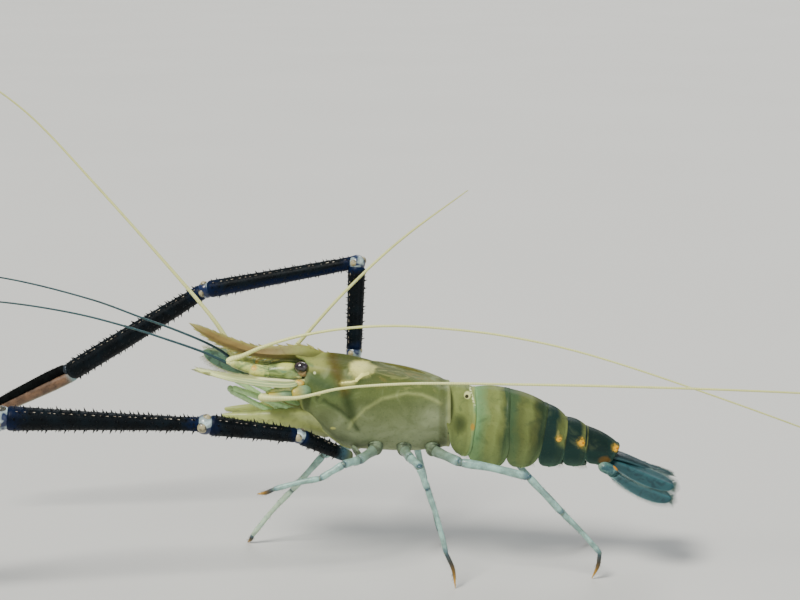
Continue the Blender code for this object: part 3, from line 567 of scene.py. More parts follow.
# The inner body under the shell; its paint is dark as painted shade beneath the shell.
def build_head_core():
    piece = Piece()
    along, around = 44, 64
    stations = dome_stations(CORE_LENGTH, 2, 3, along)

    def place(i, j):
        share, factor = stations[i]
        x = CORE_FRONT + CORE_LENGTH * share
        top, low, half = HEAD_CORE.at(x)
        rise, side = round_place(j, around)
        middle = (top + low) / 2
        width = half * SHELL_PROFILE.at(rise)[0] * factor
        return Vector((x, side * width, middle + (low + (top - low) * rise - middle) * factor)), share

    piece.sheet(len(stations) - 1, around, place)
    piece.show("head_core", "core", "mouth_olive", "carapace")


CHEEK_SPINES = (
    ((-45.4, -9.6, 97.2), (-0.96, -0.22, 0.12), 5.4, 1),
    ((-38.6, -12.6, 91.2), (-0.84, -0.5, 0.02), 4.4, 0.95),
)

# Rostrum: along, then top, bottom and half width
ROSTRUM = Curve([
    (20, 95.2, 94, 0.5), (6, 101, 98.6, 0.6), (-10, 104.2, 101.2, 0.8), (-24, 106.2, 102.6, 1.3),
    (-32, 107.5, 102.6, 2.2), (-38, 109.4, 103, 2.7), (-44.5, 112.2, 104, 2.7), (-52, 112.5, 105.2, 2.3),
    (-61, 112.1, 105.4, 2), (-70, 112.5, 106.5, 1.7), (-79, 115.2, 109, 1.4), (-88, 118.8, 112.8, 1.1),
    (-96, 122.2, 117.8, 0.8), (-102.4, 124.2, 123.2, 0.3),
])
ROSTRUM_START = 14
ROSTRUM_END = -102.4
# Teeth of the upper and the lower edge: first and last place, count, spread and lean
ROSTRUM_TEETH = ((-22, -90, 15, 0.92, 0.52), (-60, -99, 12, 1, -0.5))
TOOTH_LENGTH, TOOTH_HALF = 4.6, 1.15
# Hairs of the upper and the lower edge: count and lean
ROSTRUM_HAIRS = ((150, 0.9), (190, -1))


def build_rostrum():
    """The blade, waisted above and below the rib down each of its sides."""
    piece = Piece(marks=("edge",))
    along, around = 150, 28

    def place(i, j):
        share = i / along
        x = ROSTRUM_START + (ROSTRUM_END - ROSTRUM_START) * share
        top, low, half = ROSTRUM.at(x)
        angle = math.tau * j / around
        up, out = math.sin(angle), math.cos(angle)
        waist = 1 - 0.55 * abs(up) ** 1.3
        rib = 0.3 * bell(up, 0.05, 0.22)
        end = math.sqrt(max(1 - (2 * share - 1) ** 30, 0))
        middle = low + (top - low) * 0.46
        reach = (top - middle) if up > 0 else (middle - low)
        return Vector((x, half * out * (waist + rib) * end, middle + reach * up * end)), share, abs(up)

    piece.sheet(along, around, place)
    piece.show("rostrum", "rostrum", "shell_olive", "carapace", sharp=60)


def build_rostrum_teeth():
    teeth = Piece(bristly=True)
    for row, (first, last, count, spread, lean) in enumerate(ROSTRUM_TEETH):
        for k in range(count):
            share = k / (count - 1)
            x = first + (last - first) * share ** spread
            edge = ROSTRUM.at(x)[row]
            slope = ROSTRUM.at(x - 1)[row] - edge
            way = Vector((-1, 0, lean + slope)).normalized()
            root = Vector((x + 1.3, 0, edge - math.copysign(0.7, lean) - slope * 1.3))
            size = 1 - 0.35 * share
            teeth.spike(
                root, way, TOOTH_LENGTH * size, TOOTH_HALF * size, sides=6, flat=0.55, mark=(share, row / 2)
            )
    teeth.show("rostrum_teeth", "tooth", "shell_olive", "carapace")


def build_rostrum_hairs():
    draw = random.Random(3)
    hairs = Piece(bristly=True)
    for row, (count, lean) in enumerate(ROSTRUM_HAIRS):
        for k in range(count):
            share = (k + draw.random()) / count
            x = -26 - 72 * share
            way = Vector((-1, draw.uniform(-0.25, 0.25), lean + draw.uniform(-0.3, 0.3))).normalized()
            root = Vector((x, draw.uniform(-0.25, 0.25), ROSTRUM.at(x)[row] - math.copysign(0.3, lean)))
            hairs.spike(root, way, draw.uniform(1.3, 2.1), 0.085, sides=3, mark=(share, 0.2 + row / 2))
    hairs.show("rostrum_hairs", "fringe", "shell_olive", "carapace")


def build_cheek_spines():
    piece = Piece(bristly=True)
    for side, _ in SIDES:
        for number, (root, way, length, half) in enumerate(CHEEK_SPINES):
            mark = (0.5 + 0.2 * side, 0.2 + number / 2)
            way = carried(way, side).normalized()
            piece.spike(carried(root, side), way, length, half, sides=10, mark=mark, tip=0.06)
    piece.show("cheek_spines", "spine_pale", "shell_olive", "carapace")


EYESTALK = (
    (-44, -2.6, 97.4, 2.3), (-45.6, -4.6, 99, 2.3), (-46.6, -6.2, 100.6, 2.6), (-47.2, -7.6, 102.2, 3),
    (-47.5, -8.4, 103.1, 2.9),
)
EYE_WAY = (-1.2, -6, 1.8)
EYE_AHEAD = Vector((-1, 0, -0.05))
# The eye's thickness, length and height as shares of its length
EYE_SHAPE = (0.836, 1, 0.753)


def build_eye(side, label):
    limb(
        f"eyestalk_{label}_skin", on_side(EYESTALK, side), "stalk", "eyestalk_pink", f"eyestalk_{label}",
        along=26, around=28, ends=(0.8, 0.25),
    )
    way = carried(EYE_WAY, side).normalized()
    ahead = (EYE_AHEAD - way * way.dot(EYE_AHEAD)).normalized()
    turn = Matrix((way, ahead, way.cross(ahead))).transposed().to_4x4()
    eye = Piece()
    radii = [part * length_of("eye_length") / 2 for part in EYE_SHAPE]
    eye.ball(carried(EYE_CENTRE, side) + way * 0.2, radii, 48, 32, turn)
    eye.show(f"eye_{label}_cornea", "eye", "eye_dark", f"eye_{label}")


ANTENNULE_PARTS = (
    (
        (-44, -4.4, 98, 2), (-47, -5, 99.6, 3.2), (-51, -5.5, 100.8, 4.1), (-56, -5.8, 101.3, 4.1),
        (-61, -5.9, 101.2, 3.4), (-65, -5.9, 101.1, 2.9),
    ),
    ((-61, -5.9, 101, 2.6), (-65, -6.1, 101, 3.1), (-69.6, -6.4, 101.4, 3.3), (-73.2, -6.2, 102, 2.7)),
    (
        (-69.6, -6, 101.6, 2.5), (-73, -6, 102.6, 2.7), (-76.6, -6, 103.8, 2.5), (-79.6, -6.1, 104.9, 2.3),
        (-82, -6.2, 105.8, 1.9),
    ),
)
ANTENNA_PARTS = (
    ((-43.6, -9, 92.6, 3), (-47.5, -11.4, 92.2, 3.9), (-50.6, -12.8, 91.8, 3.8), (-52.6, -13.4, 91.6, 3.2)),
    ((-52, -13, 91.6, 2.6), (-55, -14.2, 91.3, 3.1), (-59.4, -15.2, 91, 2.9), (-63.4, -16, 90.9, 2.6)),
)
SCALE_FOOT = (
    (-48, -10.8, 93.6, 2.2), (-52, -12.2, 94, 2.4), (-56.6, -13.6, 93.8, 2.1), (-61, -14.6, 93.2, 1.4),
    (-64.5, -15.2, 92.8, 0.5),
)
# Rounded joints where the scale is hinged: middle, then radii
SCALE_ROOT = (((-48.6, -11, 96.2), (2.6, 1.7, 1.9)), ((-49.6, -12, 93.6), (2.2, 1.6, 1.6)))
ANTENNULE_SPINE = (-47.5, -8.2, 98.6)


def build_feeler_bases(side, label):
    inner, outer = f"antennule_base_{label}", f"antenna_base_{label}"
    for number, stops in enumerate(ANTENNULE_PARTS, 1):
        limb(
            f"{inner}_part{number}", on_side(stops, side), f"antennule_{number}", "head_green", inner,
            along=26, around=26, squash=0.96, ends=(0.7, 0.75),
        )
    limb(f"{outer}_foot", on_side(SCALE_FOOT, side), "scale_foot", "head_green", outer, along=26)
    joint = Piece()
    for centre, radii in SCALE_ROOT:
        joint.ball(carried(centre, side), radii, 22, 16)
    joint.show(f"scale_root_{label}", "scale_root", "head_green", outer)
    spine = Piece(bristly=True)
    way = Vector((-1, 0.1 * side, 0.14)).normalized()
    spine.spike(carried(ANTENNULE_SPINE, side), way, 10.5, 1, sides=8, mark=(0.5, 0.5), tip=0.06)
    spine.show(f"antennule_spine_{label}", "spine_pale", "head_green", inner)
    for number, stops in enumerate(ANTENNA_PARTS, 1):
        limb(
            f"{outer}_part{number}", on_side(stops, side), "antenna_base", "head_green", outer,
            along=22, around=26, squash=0.9, ends=(0.4, 0.35),
        )


def leaf(piece, stops, normal, thick, rib=0, along=60, around=36, rib_at=0, outline=0.5, thin=0):
    """A blade across a normal, with a rib down each face; marks, if any, hold rib and place across."""
    route = Route(stops, up=normal)

    def place(i, j):
        share = i / along
        middle, _, across, over, half = route.frame(share)
        end = min(1, (share / 0.05) ** outline, ((1 - share) / 0.05) ** outline)
        angle = math.tau * j / around
        out = math.cos(angle)
        ridge = bell(out, rib_at, 0.16)
        rise = thick * (1 - thin * share) * (1 - out * out) ** 0.5 + rib * ridge * end
        rise *= math.copysign(1, math.sin(angle)) if j % (around // 2) else 0
        return middle + across * (half * end * out) + over * (rise * end), share, ridge, (out + 1) / 2

    piece.sheet(along, around, place)
    return route


SCALES = {
    LEFT: (
        (-48.6, -10.2, 96.8, 1.6), (-52, -11.8, 96.6, 3.8), (-57, -13, 96.9, 4.9), (-66, -14.4, 98, 4.9),
        (-80, -15, 100.1, 3.9), (-91, -14.6, 102.6, 2.2), (-98.6, -14, 104.4, 0.7),
    ),
    RIGHT: (
        (-48.6, 10.2, 97, 1.8), (-52, 11.4, 97.2, 3.8), (-57, 12.8, 97.6, 4.8), (-66, 13.8, 98.4, 5.6),
        (-80, 14.4, 100.4, 6.2), (-91, 14.6, 103.6, 4.8), (-97.8, 14.2, 106.4, 1.4),
    ),
}
SCALE_NORMALS = {LEFT: (0.14, -0.16, 0.96), RIGHT: (0.1, -0.8, 0.6)}


def fringe(piece, route, side_sign, first, last, count, length, lean, draw, width=1, half=0.09):
    """A row of fine hairs along one edge of a leaf."""
    for k in range(count):
        share = first + (last - first) * (k + draw.random()) / count
        middle, ahead, across, over, reach = route.frame(share)
        out = across * side_sign
        way = (out + ahead * lean + over * draw.uniform(-0.15, 0.15)).normalized()
        root = middle + out * (reach * width - 0.25)
        piece.spike(
            root, way, length * draw.uniform(0.75, 1.1), half, sides=3, mark=(share, 0.5 + side_sign * 0.3)
        )


def build_scale(side, label):
    node = f"antenna_scale_{label}"
    piece = Piece(marks=("rib", "cross"))
    route = leaf(
        piece, SCALES[side], SCALE_NORMALS[side], 0.75, rib=0.55, rib_at=0.62 * side, along=90, around=48,
        thin=0.4,
    )
    piece.show(f"{node}_blade", "scale_near" if side == LEFT else "scale_far", "scale_green", node)
    hairs = Piece(bristly=True)
    draw = random.Random(21 + side)
    fringe(hairs, route, -side, 0.3, 0.97, 190, 3.4, 1.1, draw)
    fringe(hairs, route, side, 0.93, 0.995, 22, 2.6, 1.6, draw)
    hairs.show(f"{node}_hairs", "fringe", "scale_green", node)
    tooth = Piece(bristly=True)
    middle, ahead, across, _, half = route.frame(0.84)
    root = middle + across * (half * 0.8 * side)
    way = (ahead + across * side * 0.1).normalized()
    tooth.spike(root, way, 7.5, 0.95, sides=8, mark=(0.9, 0.5), tip=0.06)
    tooth.show(f"{node}_tooth", "spine_pale", "scale_green", node)


FEELERS = {
    "antennule_outer_left": (
        (-79.6, -6.2, 104.8, 1.7), (-82.6, -6.4, 106.4, 1.6), (-76, -7.2, 109, 1.15),
        (-66.4, -8.4, 113.6, 0.88), (-47.9, -10, 119.5, 0.72), (-23.9, -12, 123.9, 0.64),
        (0, -13, 125.1, 0.6), (23.8, -14, 123.8, 0.57), (47.6, -15, 121.1, 0.54), (76.2, -16, 115.5, 0.5),
        (104.9, -17, 107.4, 0.46), (143.3, -18, 94.4, 0.42), (191.5, -20, 77.1, 0.38), (214, -21, 68, 0.22),
    ),
    "antennule_outer_right": (
        (-79.8, 6, 104.6, 1.7), (-83, 6.2, 107.6, 1.55), (-84.6, 6.8, 113.4, 1.25), (-92.8, 8, 125.8, 1),
        (-116.2, 10, 153.8, 0.78), (-147.8, 12, 190.2, 0.62), (-174.1, 14, 219, 0.5),
        (-191.8, 15, 233.8, 0.44), (-212, 16, 246, 0.24),
    ),
    "antennule_inner_left": (
        (-79.8, -4.8, 103.6, 1.1), (-82.2, -5.6, 104.6, 0.9), (-88.5, -8, 108.2, 0.72),
        (-95.1, -10, 111.8, 0.62), (-107, -13, 117, 0.56), (-128.8, -16, 125.1, 0.5),
        (-154.8, -18, 132.5, 0.45), (-188.6, -20, 138.3, 0.4), (-222, -22, 140, 0.22),
    ),
    "antennule_inner_right": (
        (-79.8, 5, 103.2, 1.1), (-82.2, 5.4, 104.2, 0.9), (-87.5, 4.9, 108.6, 0.72),
        (-96.2, 4.4, 113.5, 0.62), (-110.5, 4, 119.7, 0.56), (-125.2, 2.6, 125.6, 0.5),
        (-148.8, 0.6, 135, 0.45), (-186.5, -3, 145.7, 0.4), (-226, -6, 152, 0.22),
    ),
    "antenna_left": (
        (-62.6, -15.8, 90.9, 2.1), (-66, -17.2, 90.9, 2), (-60, -19.8, 91.2, 1.5),
        (-47.8, -20.6, 91.9, 0.9), (-28.5, -22, 96.6, 0.68), (0, -26, 99.9, 0.64), (23.5, -29, 101, 0.62),
        (58.6, -33, 101.5, 0.6), (93.4, -36, 101.6, 0.62), (139.6, -39, 101, 0.55),
        (185.5, -42, 99.8, 0.46), (222, -44, 98, 0.24),
    ),
    "antenna_right": (
        (-62.8, 16, 91, 2.1), (-66.2, 17, 91.6, 2), (-60.5, 18.6, 97.5, 1.5), (-48, 19.4, 111.8, 0.95),
        (-27.1, 20.4, 135, 0.75), (0, 21.2, 160.4, 0.62), (33.3, 22, 185.3, 0.26),
    ),
}
# Feelers whose solids come in two lengths
LONG_FEELERS = ("antennule_outer_left", "antenna_left")


def build_feeler(name):
    thickness = bpy.context.scene.prawn_sizes.whip_thickness
    stops = [(*stop[:3], stop[3] * thickness) for stop in FEELERS[name]]
    rings = int(Route(stops).length / length_of("ring_length"))

    def swell(share, turn):
        return 1 + 0.03 * (1 if math.sin(math.tau * rings * share) > 0 else -1)

    tone = "feeler_dark" if name.startswith("antennule_inner") else "feeler_pale"
    nodes = (f"{name}_1", f"{name}_2") if name in LONG_FEELERS else (name,)
    limb(f"{name}_whip", stops, tone, tone, *nodes, along=rings * 4, around=10, swell=swell)


def limb_stops(a, b, bow=0):
    """Stops of one leg part from joint to joint, thinner in the middle and swollen at its ends."""
    near, far = a[3], b[3]
    start, end = Vector(a[:3]), Vector(b[:3])
    way = (end - start).normalized()
    across = way.cross(UP).normalized()
    over = across.cross(way)
    rows = (
        (0, near * 0.8), (0.1, near), (0.45, (near + far) / 2 * 0.9), (0.88, far * 1.08), (1, far * 0.92),
    )
    rise = bow * (end - start).length
    return [(*(start + (end - start) * s + over * (rise * math.sin(math.pi * s))), half) for s, half in rows]


# The joints of each walking leg, from the body to the toe
LEG_JOINTS = {
    "3_left": (
        (-12, -8, 62.5), (-20, -19, 60), (-27, -27, 60.5), (-38, -30, 54.5), (-60, -31, 49.5),
        (-68, -30.5, 47),
    ),
    "4_left": (
        (2, -8, 62), (5, -20, 61.5), (9.4, -30, 60), (13, -31, 49.5), (22, -33, 18.3), (26.6, -32.4, 0.3),
    ),
    "5_left": (
        (16, -8, 62), (29, -22, 60), (61.5, -26, 54), (78, -25, 35.5), (96.8, -22.5, 14.4),
        (93.6, -19.5, 0.3),
    ),
    "3_right": (
        (-12, 8, 62.5), (-22, 17, 58), (-38.8, 20.5, 50.5), (-54.9, 24, 31), (-76, 30, 4.6),
        (-78.6, 32, 0.3),
    ),
    "4_right": (
        (2, 8, 62), (5, 20, 60), (8, 29, 54.5), (12.8, 31, 34), (20, 32.6, 7), (22.4, 33, 0.3),
    ),
    "5_right": (
        (16, 8, 62), (29, 22, 59.5), (54, 26, 51), (70, 28, 32), (91, 30, 8.5), (97.5, 30.6, 0.3),
    ),
}
LEG_GIRTHS = (2.6, 2.1, 1.75, 1.4, 1.12, 0.5)
# Parts of a walking leg from the body to the toe, and the hairs on each
LEG_PARTS = {"basis": 0, "merus": 26, "carpus": 24, "propodus": 90, "dactylus": 70}


def scatter_hairs(piece, stops, count, length, draw, half=0.07, lean=1, low=0.05, high=0.97, sector=None):
    """Fine hairs over a limb part, all leaning towards its end."""
    route = Route(stops)
    for _ in range(count):
        share = draw.uniform(low, high)
        middle, ahead, across, over, reach = route.frame(share)
        turn = draw.uniform(0, math.tau) if sector is None else draw.uniform(*sector)
        out = across * math.cos(turn) + over * math.sin(turn)
        way = (out + ahead * lean * draw.uniform(0.6, 1.3)).normalized()
        root, stands = middle + out * (reach - 0.15), length * draw.uniform(0.6, 1.15)
        if (root + way * stands).z > FLOOR + 0.2:
            piece.spike(root, way, stands, half, sides=3, mark=(share, turn / math.tau))


def build_leg(name):
    stops = [(*joint, girth) for joint, girth in zip(LEG_JOINTS[name], LEG_GIRTHS)]
    upper, lower = f"leg_{name[0]}_upper{name[1:]}", f"leg_{name[0]}_lower{name[1:]}"
    draw = random.Random(name)
    hairs, joints = Piece(bristly=True), Piece()
    for number, (part, count) in enumerate(LEG_PARTS.items()):
        a, b = stops[number], stops[number + 1]
        if part == "dactylus":
            way = Vector(b[:3]) - Vector(a[:3])
            middle = Vector(a[:3]) + way * 0.5 + way.cross(ACROSS).normalized() * (way.length * 0.07)
            rows = [(*a[:3], a[3] * 0.9), (*middle, a[3] * 0.85), (*b[:3], 0.18)]
            paint, form = "toe", {"along": 24, "around": 14, "ends": (0.7, 1)}
        else:
            rows = limb_stops(a, b, bow=0.02 if part in ("merus", "propodus") else 0)
            paint, form = "leg", {"along": 30, "around": 20, "squash": 1.08, "ends": (0.6, 0.6)}
        limb(f"leg_{name}_{part}", rows, paint, "leg_blue", upper if number < 2 else lower, **form)
        if number:
            joints.ball(Vector(a[:3]), (a[3] * 0.94,) * 3, 18, 12)
        scatter_hairs(hairs, rows, count, length_of("leg_hair_length"), draw)
    joints.show(f"leg_{name}_joints", "joint", "leg_blue", upper, lower)
    hairs.show(f"leg_{name}_hairs", "leg_hair", "leg_blue", lower)
    root, knee = Vector(stops[0][:3]), Vector(stops[1][:3])
    inside = root - ACROSS * math.copysign(2, root.y) + UP * 3.2
    outside = root + (knee - root).normalized() * 2.6
    hip = [(*inside, 4), (*(root + UP * 0.7), 3.6), (*outside, 2.8)]
    limb(f"leg_{name}_hip", hip, "hip", "leg_blue", "carapace", along=18, squash=1.1)


JAW = (
    (-32, -4.6, 70.5, 3.2), (-38, -5.6, 74, 4), (-44, -7, 76.4, 4.4), (-50, -8.4, 77.6, 4.3),
    (-56, -9, 78.2, 3.7), (-60, -8.9, 78.6, 3.2), (-66, -8.2, 78.8, 2.5), (-71.5, -7.5, 78.6, 1.95),
    (-76, -7, 78.5, 1.75), (-81, -6.4, 78.6, 1.35), (-86.6, -5.8, 79, 0.55),
)
FIRST_LEG_UPPER = (
    (-38, -4.6, 75.2, 1.9), (-46, -5.6, 78.9, 1.8), (-56.5, -7.6, 83.8, 1.6), (-69, -10, 89.6, 1.5),
    (-81, -10.8, 94.2, 1.45),
)
FIRST_LEG_LOWER = (
    (-82, -10.8, 92.8, 1.4), (-73, -9.8, 87.6, 1.3), (-65, -7.4, 82.7, 1.4), (-57, -4.6, 78.2, 1.5),
    (-51, -3.6, 75.8, 1), (-47.4, -3.4, 74.6, 0.4),
)
FIRST_LEG_ELBOW = (-81.8, -10.8, 93.6)


def jaw_swell(share, turn):
    """Joints down the limb of the mouth, and a flat keel along its outer side."""
    joints = sum(bell(share, place, 0.014) for place in (0.45, 0.74))
    return 1 - 0.1 * joints + 0.06 * bell(math.cos(turn), -1, 0.25)


def build_mouthparts(side, label):
    draw = random.Random(40 + side)
    jaw, leg = f"maxilliped_{label}", f"first_leg_{label}"
    upper_node, lower_node = f"first_leg_upper_{label}", f"first_leg_lower_{label}"
    stops, upper, lower = (on_side(rows, side) for rows in (JAW, FIRST_LEG_UPPER, FIRST_LEG_LOWER))
    limb(f"{jaw}_limb", stops, "jaw", "mouth_olive", jaw, along=70, around=30, squash=1.42, swell=jaw_swell)
    hairs = Piece(bristly=True)
    scatter_hairs(hairs, stops, 420, 2.6, draw, half=0.08, lean=0.9, low=0.35, sector=(math.pi, math.tau))
    hairs.show(f"{jaw}_hairs", "fringe", "mouth_olive", jaw)
    limb(f"{leg}_upper_limb", upper, "first_leg", "mouth_olive", upper_node, along=44, around=22)
    limb(f"{leg}_lower_limb", lower, "first_leg", "mouth_olive", lower_node, along=44, around=22)
    elbow = Piece()
    elbow.ball(carried(FIRST_LEG_ELBOW, side), (1.5, 1.5, 1.7), 20, 14)
    elbow.show(f"{leg}_elbow", "first_leg", "mouth_olive", upper_node)
    hairs = Piece(bristly=True)
    scatter_hairs(hairs, upper, 110, 1.5, draw)
    scatter_hairs(hairs, lower, 160, 1.6, draw)
    hairs.show(f"{leg}_hairs", "fringe", "mouth_olive", lower_node)


PALM_SWELL = 1.14
FLARE = 1.7
HIPS = {"left": (-20, -7, 61), "right": (-24, 7.5, 60.6)}
HIP_GIRTH = (4.4, 3.9)
ARM_JOINTS = {
    "left": (
        (-24, -9, 58.5), (-48.6, -24, 74), (-92, -36, 83), (-184, -52, 90.6), (-258, -50, 35),
        (-300, -44, 1.6),
    ),
    "right": (
        (-24, 24, 63), (-23.2, 30, 101.9), (-21.7, 40, 146), (-100.9, 60, 127.5), (-176.2, 66, 80.6),
        (-232, 70, 53),
    ),
}
ARM_GIRTHS = {
    "left": ((3.2, 3.8), (3.6, 4.9), (3.4, 5.8), (5, 6.3)),
    "right": ((3.4, 4), (4, 4.4), (3.4, 4.5), (4, 5)),
}
# Parts of an arm, and the shares of each between which its thorns stand
ARM_PARTS = {"ischium": (0.3, 0.94), "merus": (0.08, 0.97), "carpus": (0.04, 0.98), "palm": (0.04, 0.99)}
# Height of each part's thorns against the tallest, and each part's paint
THORN_SIZES = {"left": (0.8, 1, 1, 1), "right": (0.8, 0.72, 0.76, 0.95)}
ARM_PAINTS = {"left": ("arm_root", "arm", "arm", "palm"), "right": ("arm_root", "arm_far", "arm_far", "palm")}
FINGER_TAPER = (
    (0, 0.86, 0), (0.18, 1, 0), (0.42, 0.94, 0), (0.66, 0.76, 0.1), (0.86, 0.48, 0.5), (1, 0.16, 1),
)


class ArmLine:
    """The middle line and the half thickness of one straight part of an arm."""

    def __init__(self, start, end, girth, swell=1):
        self.start = Vector(start)
        self.way = (Vector(end) - self.start).normalized()
        self.length = (Vector(end) - self.start).length - girth[1] * 0.75
        self.girth = girth
        self.swell = swell
        self.across = self.way.cross(UP).normalized()
        self.over = self.across.cross(self.way)

    def place(self, share):
        return self.start + self.way * (self.length * share)

    def half(self, share):
        fat = 1 + (self.swell - 1) * math.sin(math.pi * share)
        knob = 1 + 0.05 * bell(share, 0.03, 0.03) - 0.07 * bell(share, 0.1, 0.04)
        return (self.girth[0] + (self.girth[1] - self.girth[0]) * share ** FLARE) * fat * knob

    def out(self, turn):
        return self.across * math.cos(turn) + self.over * math.sin(turn)

    def root(self, share, out, depth):
        """A point set in below the skin, out from the middle line."""
        return self.place(share) + out * (self.half(share) - depth)


THORN_ROWS = 12
# Share of large thorns, then height, half width of a small and a large one against the full height
LARGE_THORNS = 0.55
THORN_FORMS = {True: (1, 0.38), False: (0.57, 0.26)}
THORN_ROOT = 0.6
GLINT_TURN = 2.25
GLINT_SPACING = 3.4


def arm_thorns(line, first, last, draw, piece, size=1):
    """Staggered rows of thorns round an arm part, all leaning towards the claw."""
    count = round(line.length * (last - first) / length_of("thorn_spacing"))
    height = length_of("thorn_height") * size
    for row in range(THORN_ROWS):
        for k in range(count):
            along = (k + 0.25 + 0.5 * (row % 2) + draw.uniform(-0.12, 0.12)) / count
            share = first + (last - first) * along
            turn = math.tau * (row + 0.5) / THORN_ROWS + draw.uniform(-0.05, 0.05)
            out = line.out(turn)
            tall, broad = THORN_FORMS[draw.random() < LARGE_THORNS]
            stands = height * tall * draw.uniform(0.88, 1.12) + 0.7
            lean = (out * 0.93 + line.way * 0.36).normalized()
            root, mark = line.root(share, out, THORN_ROOT), (share, turn / math.tau)
            piece.spike(root, lean, stands, height * broad, sides=8, mark=mark, tip=0.08)


def arm_grains(line, first, draw, piece):
    """Small rounded grains of the shell between the thorns."""
    for _ in range(int(line.length * 3)):
        share = draw.uniform(first, 0.98)
        turn = draw.uniform(0, math.tau)
        out = line.out(turn)
        lean = (out * 0.9 + line.way * 0.4).normalized()
        root, mark = line.root(share, out, 0.35), (share, turn / 6.3)
        piece.spike(root, lean, draw.uniform(0.5, 0.8), 0.4, sides=6, mark=mark, tip=0.4)


def arm_glints(line, first, last, draw, piece):
    """A broken line of long low grains down the upper outer side of an arm part, painted pale as highlights.
    """
    count = round(line.length * (last - first) / GLINT_SPACING)
    for k in range(count):
        share = first + (last - first) * (k + draw.uniform(0.2, 0.8)) / count
        out = line.out(GLINT_TURN + draw.uniform(-0.03, 0.03))
        root = line.root(share, out, 0.16) - line.way * 0.8
        lean = (line.way + out * 0.02).normalized()
        piece.spike(root, lean, draw.uniform(1, 2.1), 0.24, sides=6, mark=(share, 0.35), tip=0.5)


def finger_stops(start, tip, girth, hook):
    return [(*(start + (tip - start) * s + hook * bend), girth * fat) for s, fat, bend in FINGER_TAPER]


def joint_collar(knuckles, condyles, line):
    """The rounded knuckle at the end of an arm part, and the small condyles it hinges on."""
    half = line.girth[1]
    centre = line.place(1) + line.way * (half * 0.62)
    knuckles.ball(centre, (half * 0.98,) * 3, 30, 22)
    offset = line.over * 0.66 - line.across * 0.22
    condyles.ball(centre + offset * half, (half * 0.44,) * 3, 22, 16)
    for sign in (-1, 1):
        side = line.across * (half * 0.5 * sign) + line.way * (half * 0.3) - line.over * (half * 0.16)
        condyles.ball(centre + side, (half * 0.56,) * 3, 22, 16)


def build_arm(label):
    joints, girths = ARM_JOINTS[label], ARM_GIRTHS[label]
    draw = random.Random(f"arm {label}")
    nodes = [f"arm_{part}_{label}" for part in ARM_PARTS]
    lines = [
        ArmLine(joints[n], joints[n + 1], girths[n], PALM_SWELL if part == "palm" else 1)
        for n, part in enumerate(ARM_PARTS)
    ]
    hip = ArmLine(HIPS[label], joints[0], HIP_GIRTH)
    hip_stops = [(*hip.place(s), hip.half(s)) for s in (0, 0.5, 1)]
    limb(f"arm_{label}_hip", hip_stops, "hip", "arm_blue", nodes[0], along=12, around=26)
    knuckles, condyles = Piece(), Piece()
    rows = zip(nodes, lines, ARM_PARTS.values(), THORN_SIZES[label], ARM_PAINTS[label])
    for node, line, (first, last), size, paint in rows:
        start, end = -0.1 * line.girth[0] / line.length, 1 + 0.4 * line.girth[1] / line.length
        shares = [start + (end - start) * k / 16 for k in range(17)]
        stops = [(*line.place(share), line.half(min(max(share, 0), 1))) for share in shares]
        ends = (0.8, 0.8 if paint == "palm" else 0.5)
        limb(f"{node}_shell", stops, paint, "arm_blue", node, along=70, around=36, ends=ends)
        thorns, grains, glints = Piece(bristly=True), Piece(bristly=True), Piece(bristly=True)
        arm_thorns(line, first, last, draw, thorns, size)
        thorns.show(f"{node}_spines", "arm_spine", "arm_blue", node)
        arm_grains(line, first * 0.5, draw, grains)
        grains.show(f"{node}_grains", "arm_spine", "arm_blue", node)
        arm_glints(line, first, last, draw, glints)
        glints.show(f"{node}_glints", "glint", "arm_blue", node)
        if paint != "palm":
            joint_collar(knuckles, condyles, line)
    knuckles.show(f"arm_knuckles_{label}", "knuckle", "arm_blue", *nodes)
    condyles.show(f"arm_condyles_{label}", "condyle", "arm_blue", *nodes)
    build_claw(label, lines[3], Vector(joints[4]), Vector(joints[5]), draw)


# How far each finger is set from the palm's middle and how thick it is, as shares of the palm
FIXED_SET, FIXED_THICK = 0.52, 0.64
MOVING_SET, MOVING_THICK = 0.58, 0.54


def claw_teeth(piece, route, inward, count, first, reach, large, sizes, growth, mark):
    """Blunt teeth down the closing edge of a finger; large holds the numbers of the big ones."""
    for k in range(count):
        share = first + reach * k / (count - 1)
        middle, _, _, _, half = route.frame(share)
        size = sizes[0] if k in large else sizes[1]
        length, width = growth[0] + size * growth[1], growth[2] * size
        root = middle + inward * (half - 0.6)
        piece.spike(root, inward, length, width, sides=10, mark=(share, mark), tip=0.45)


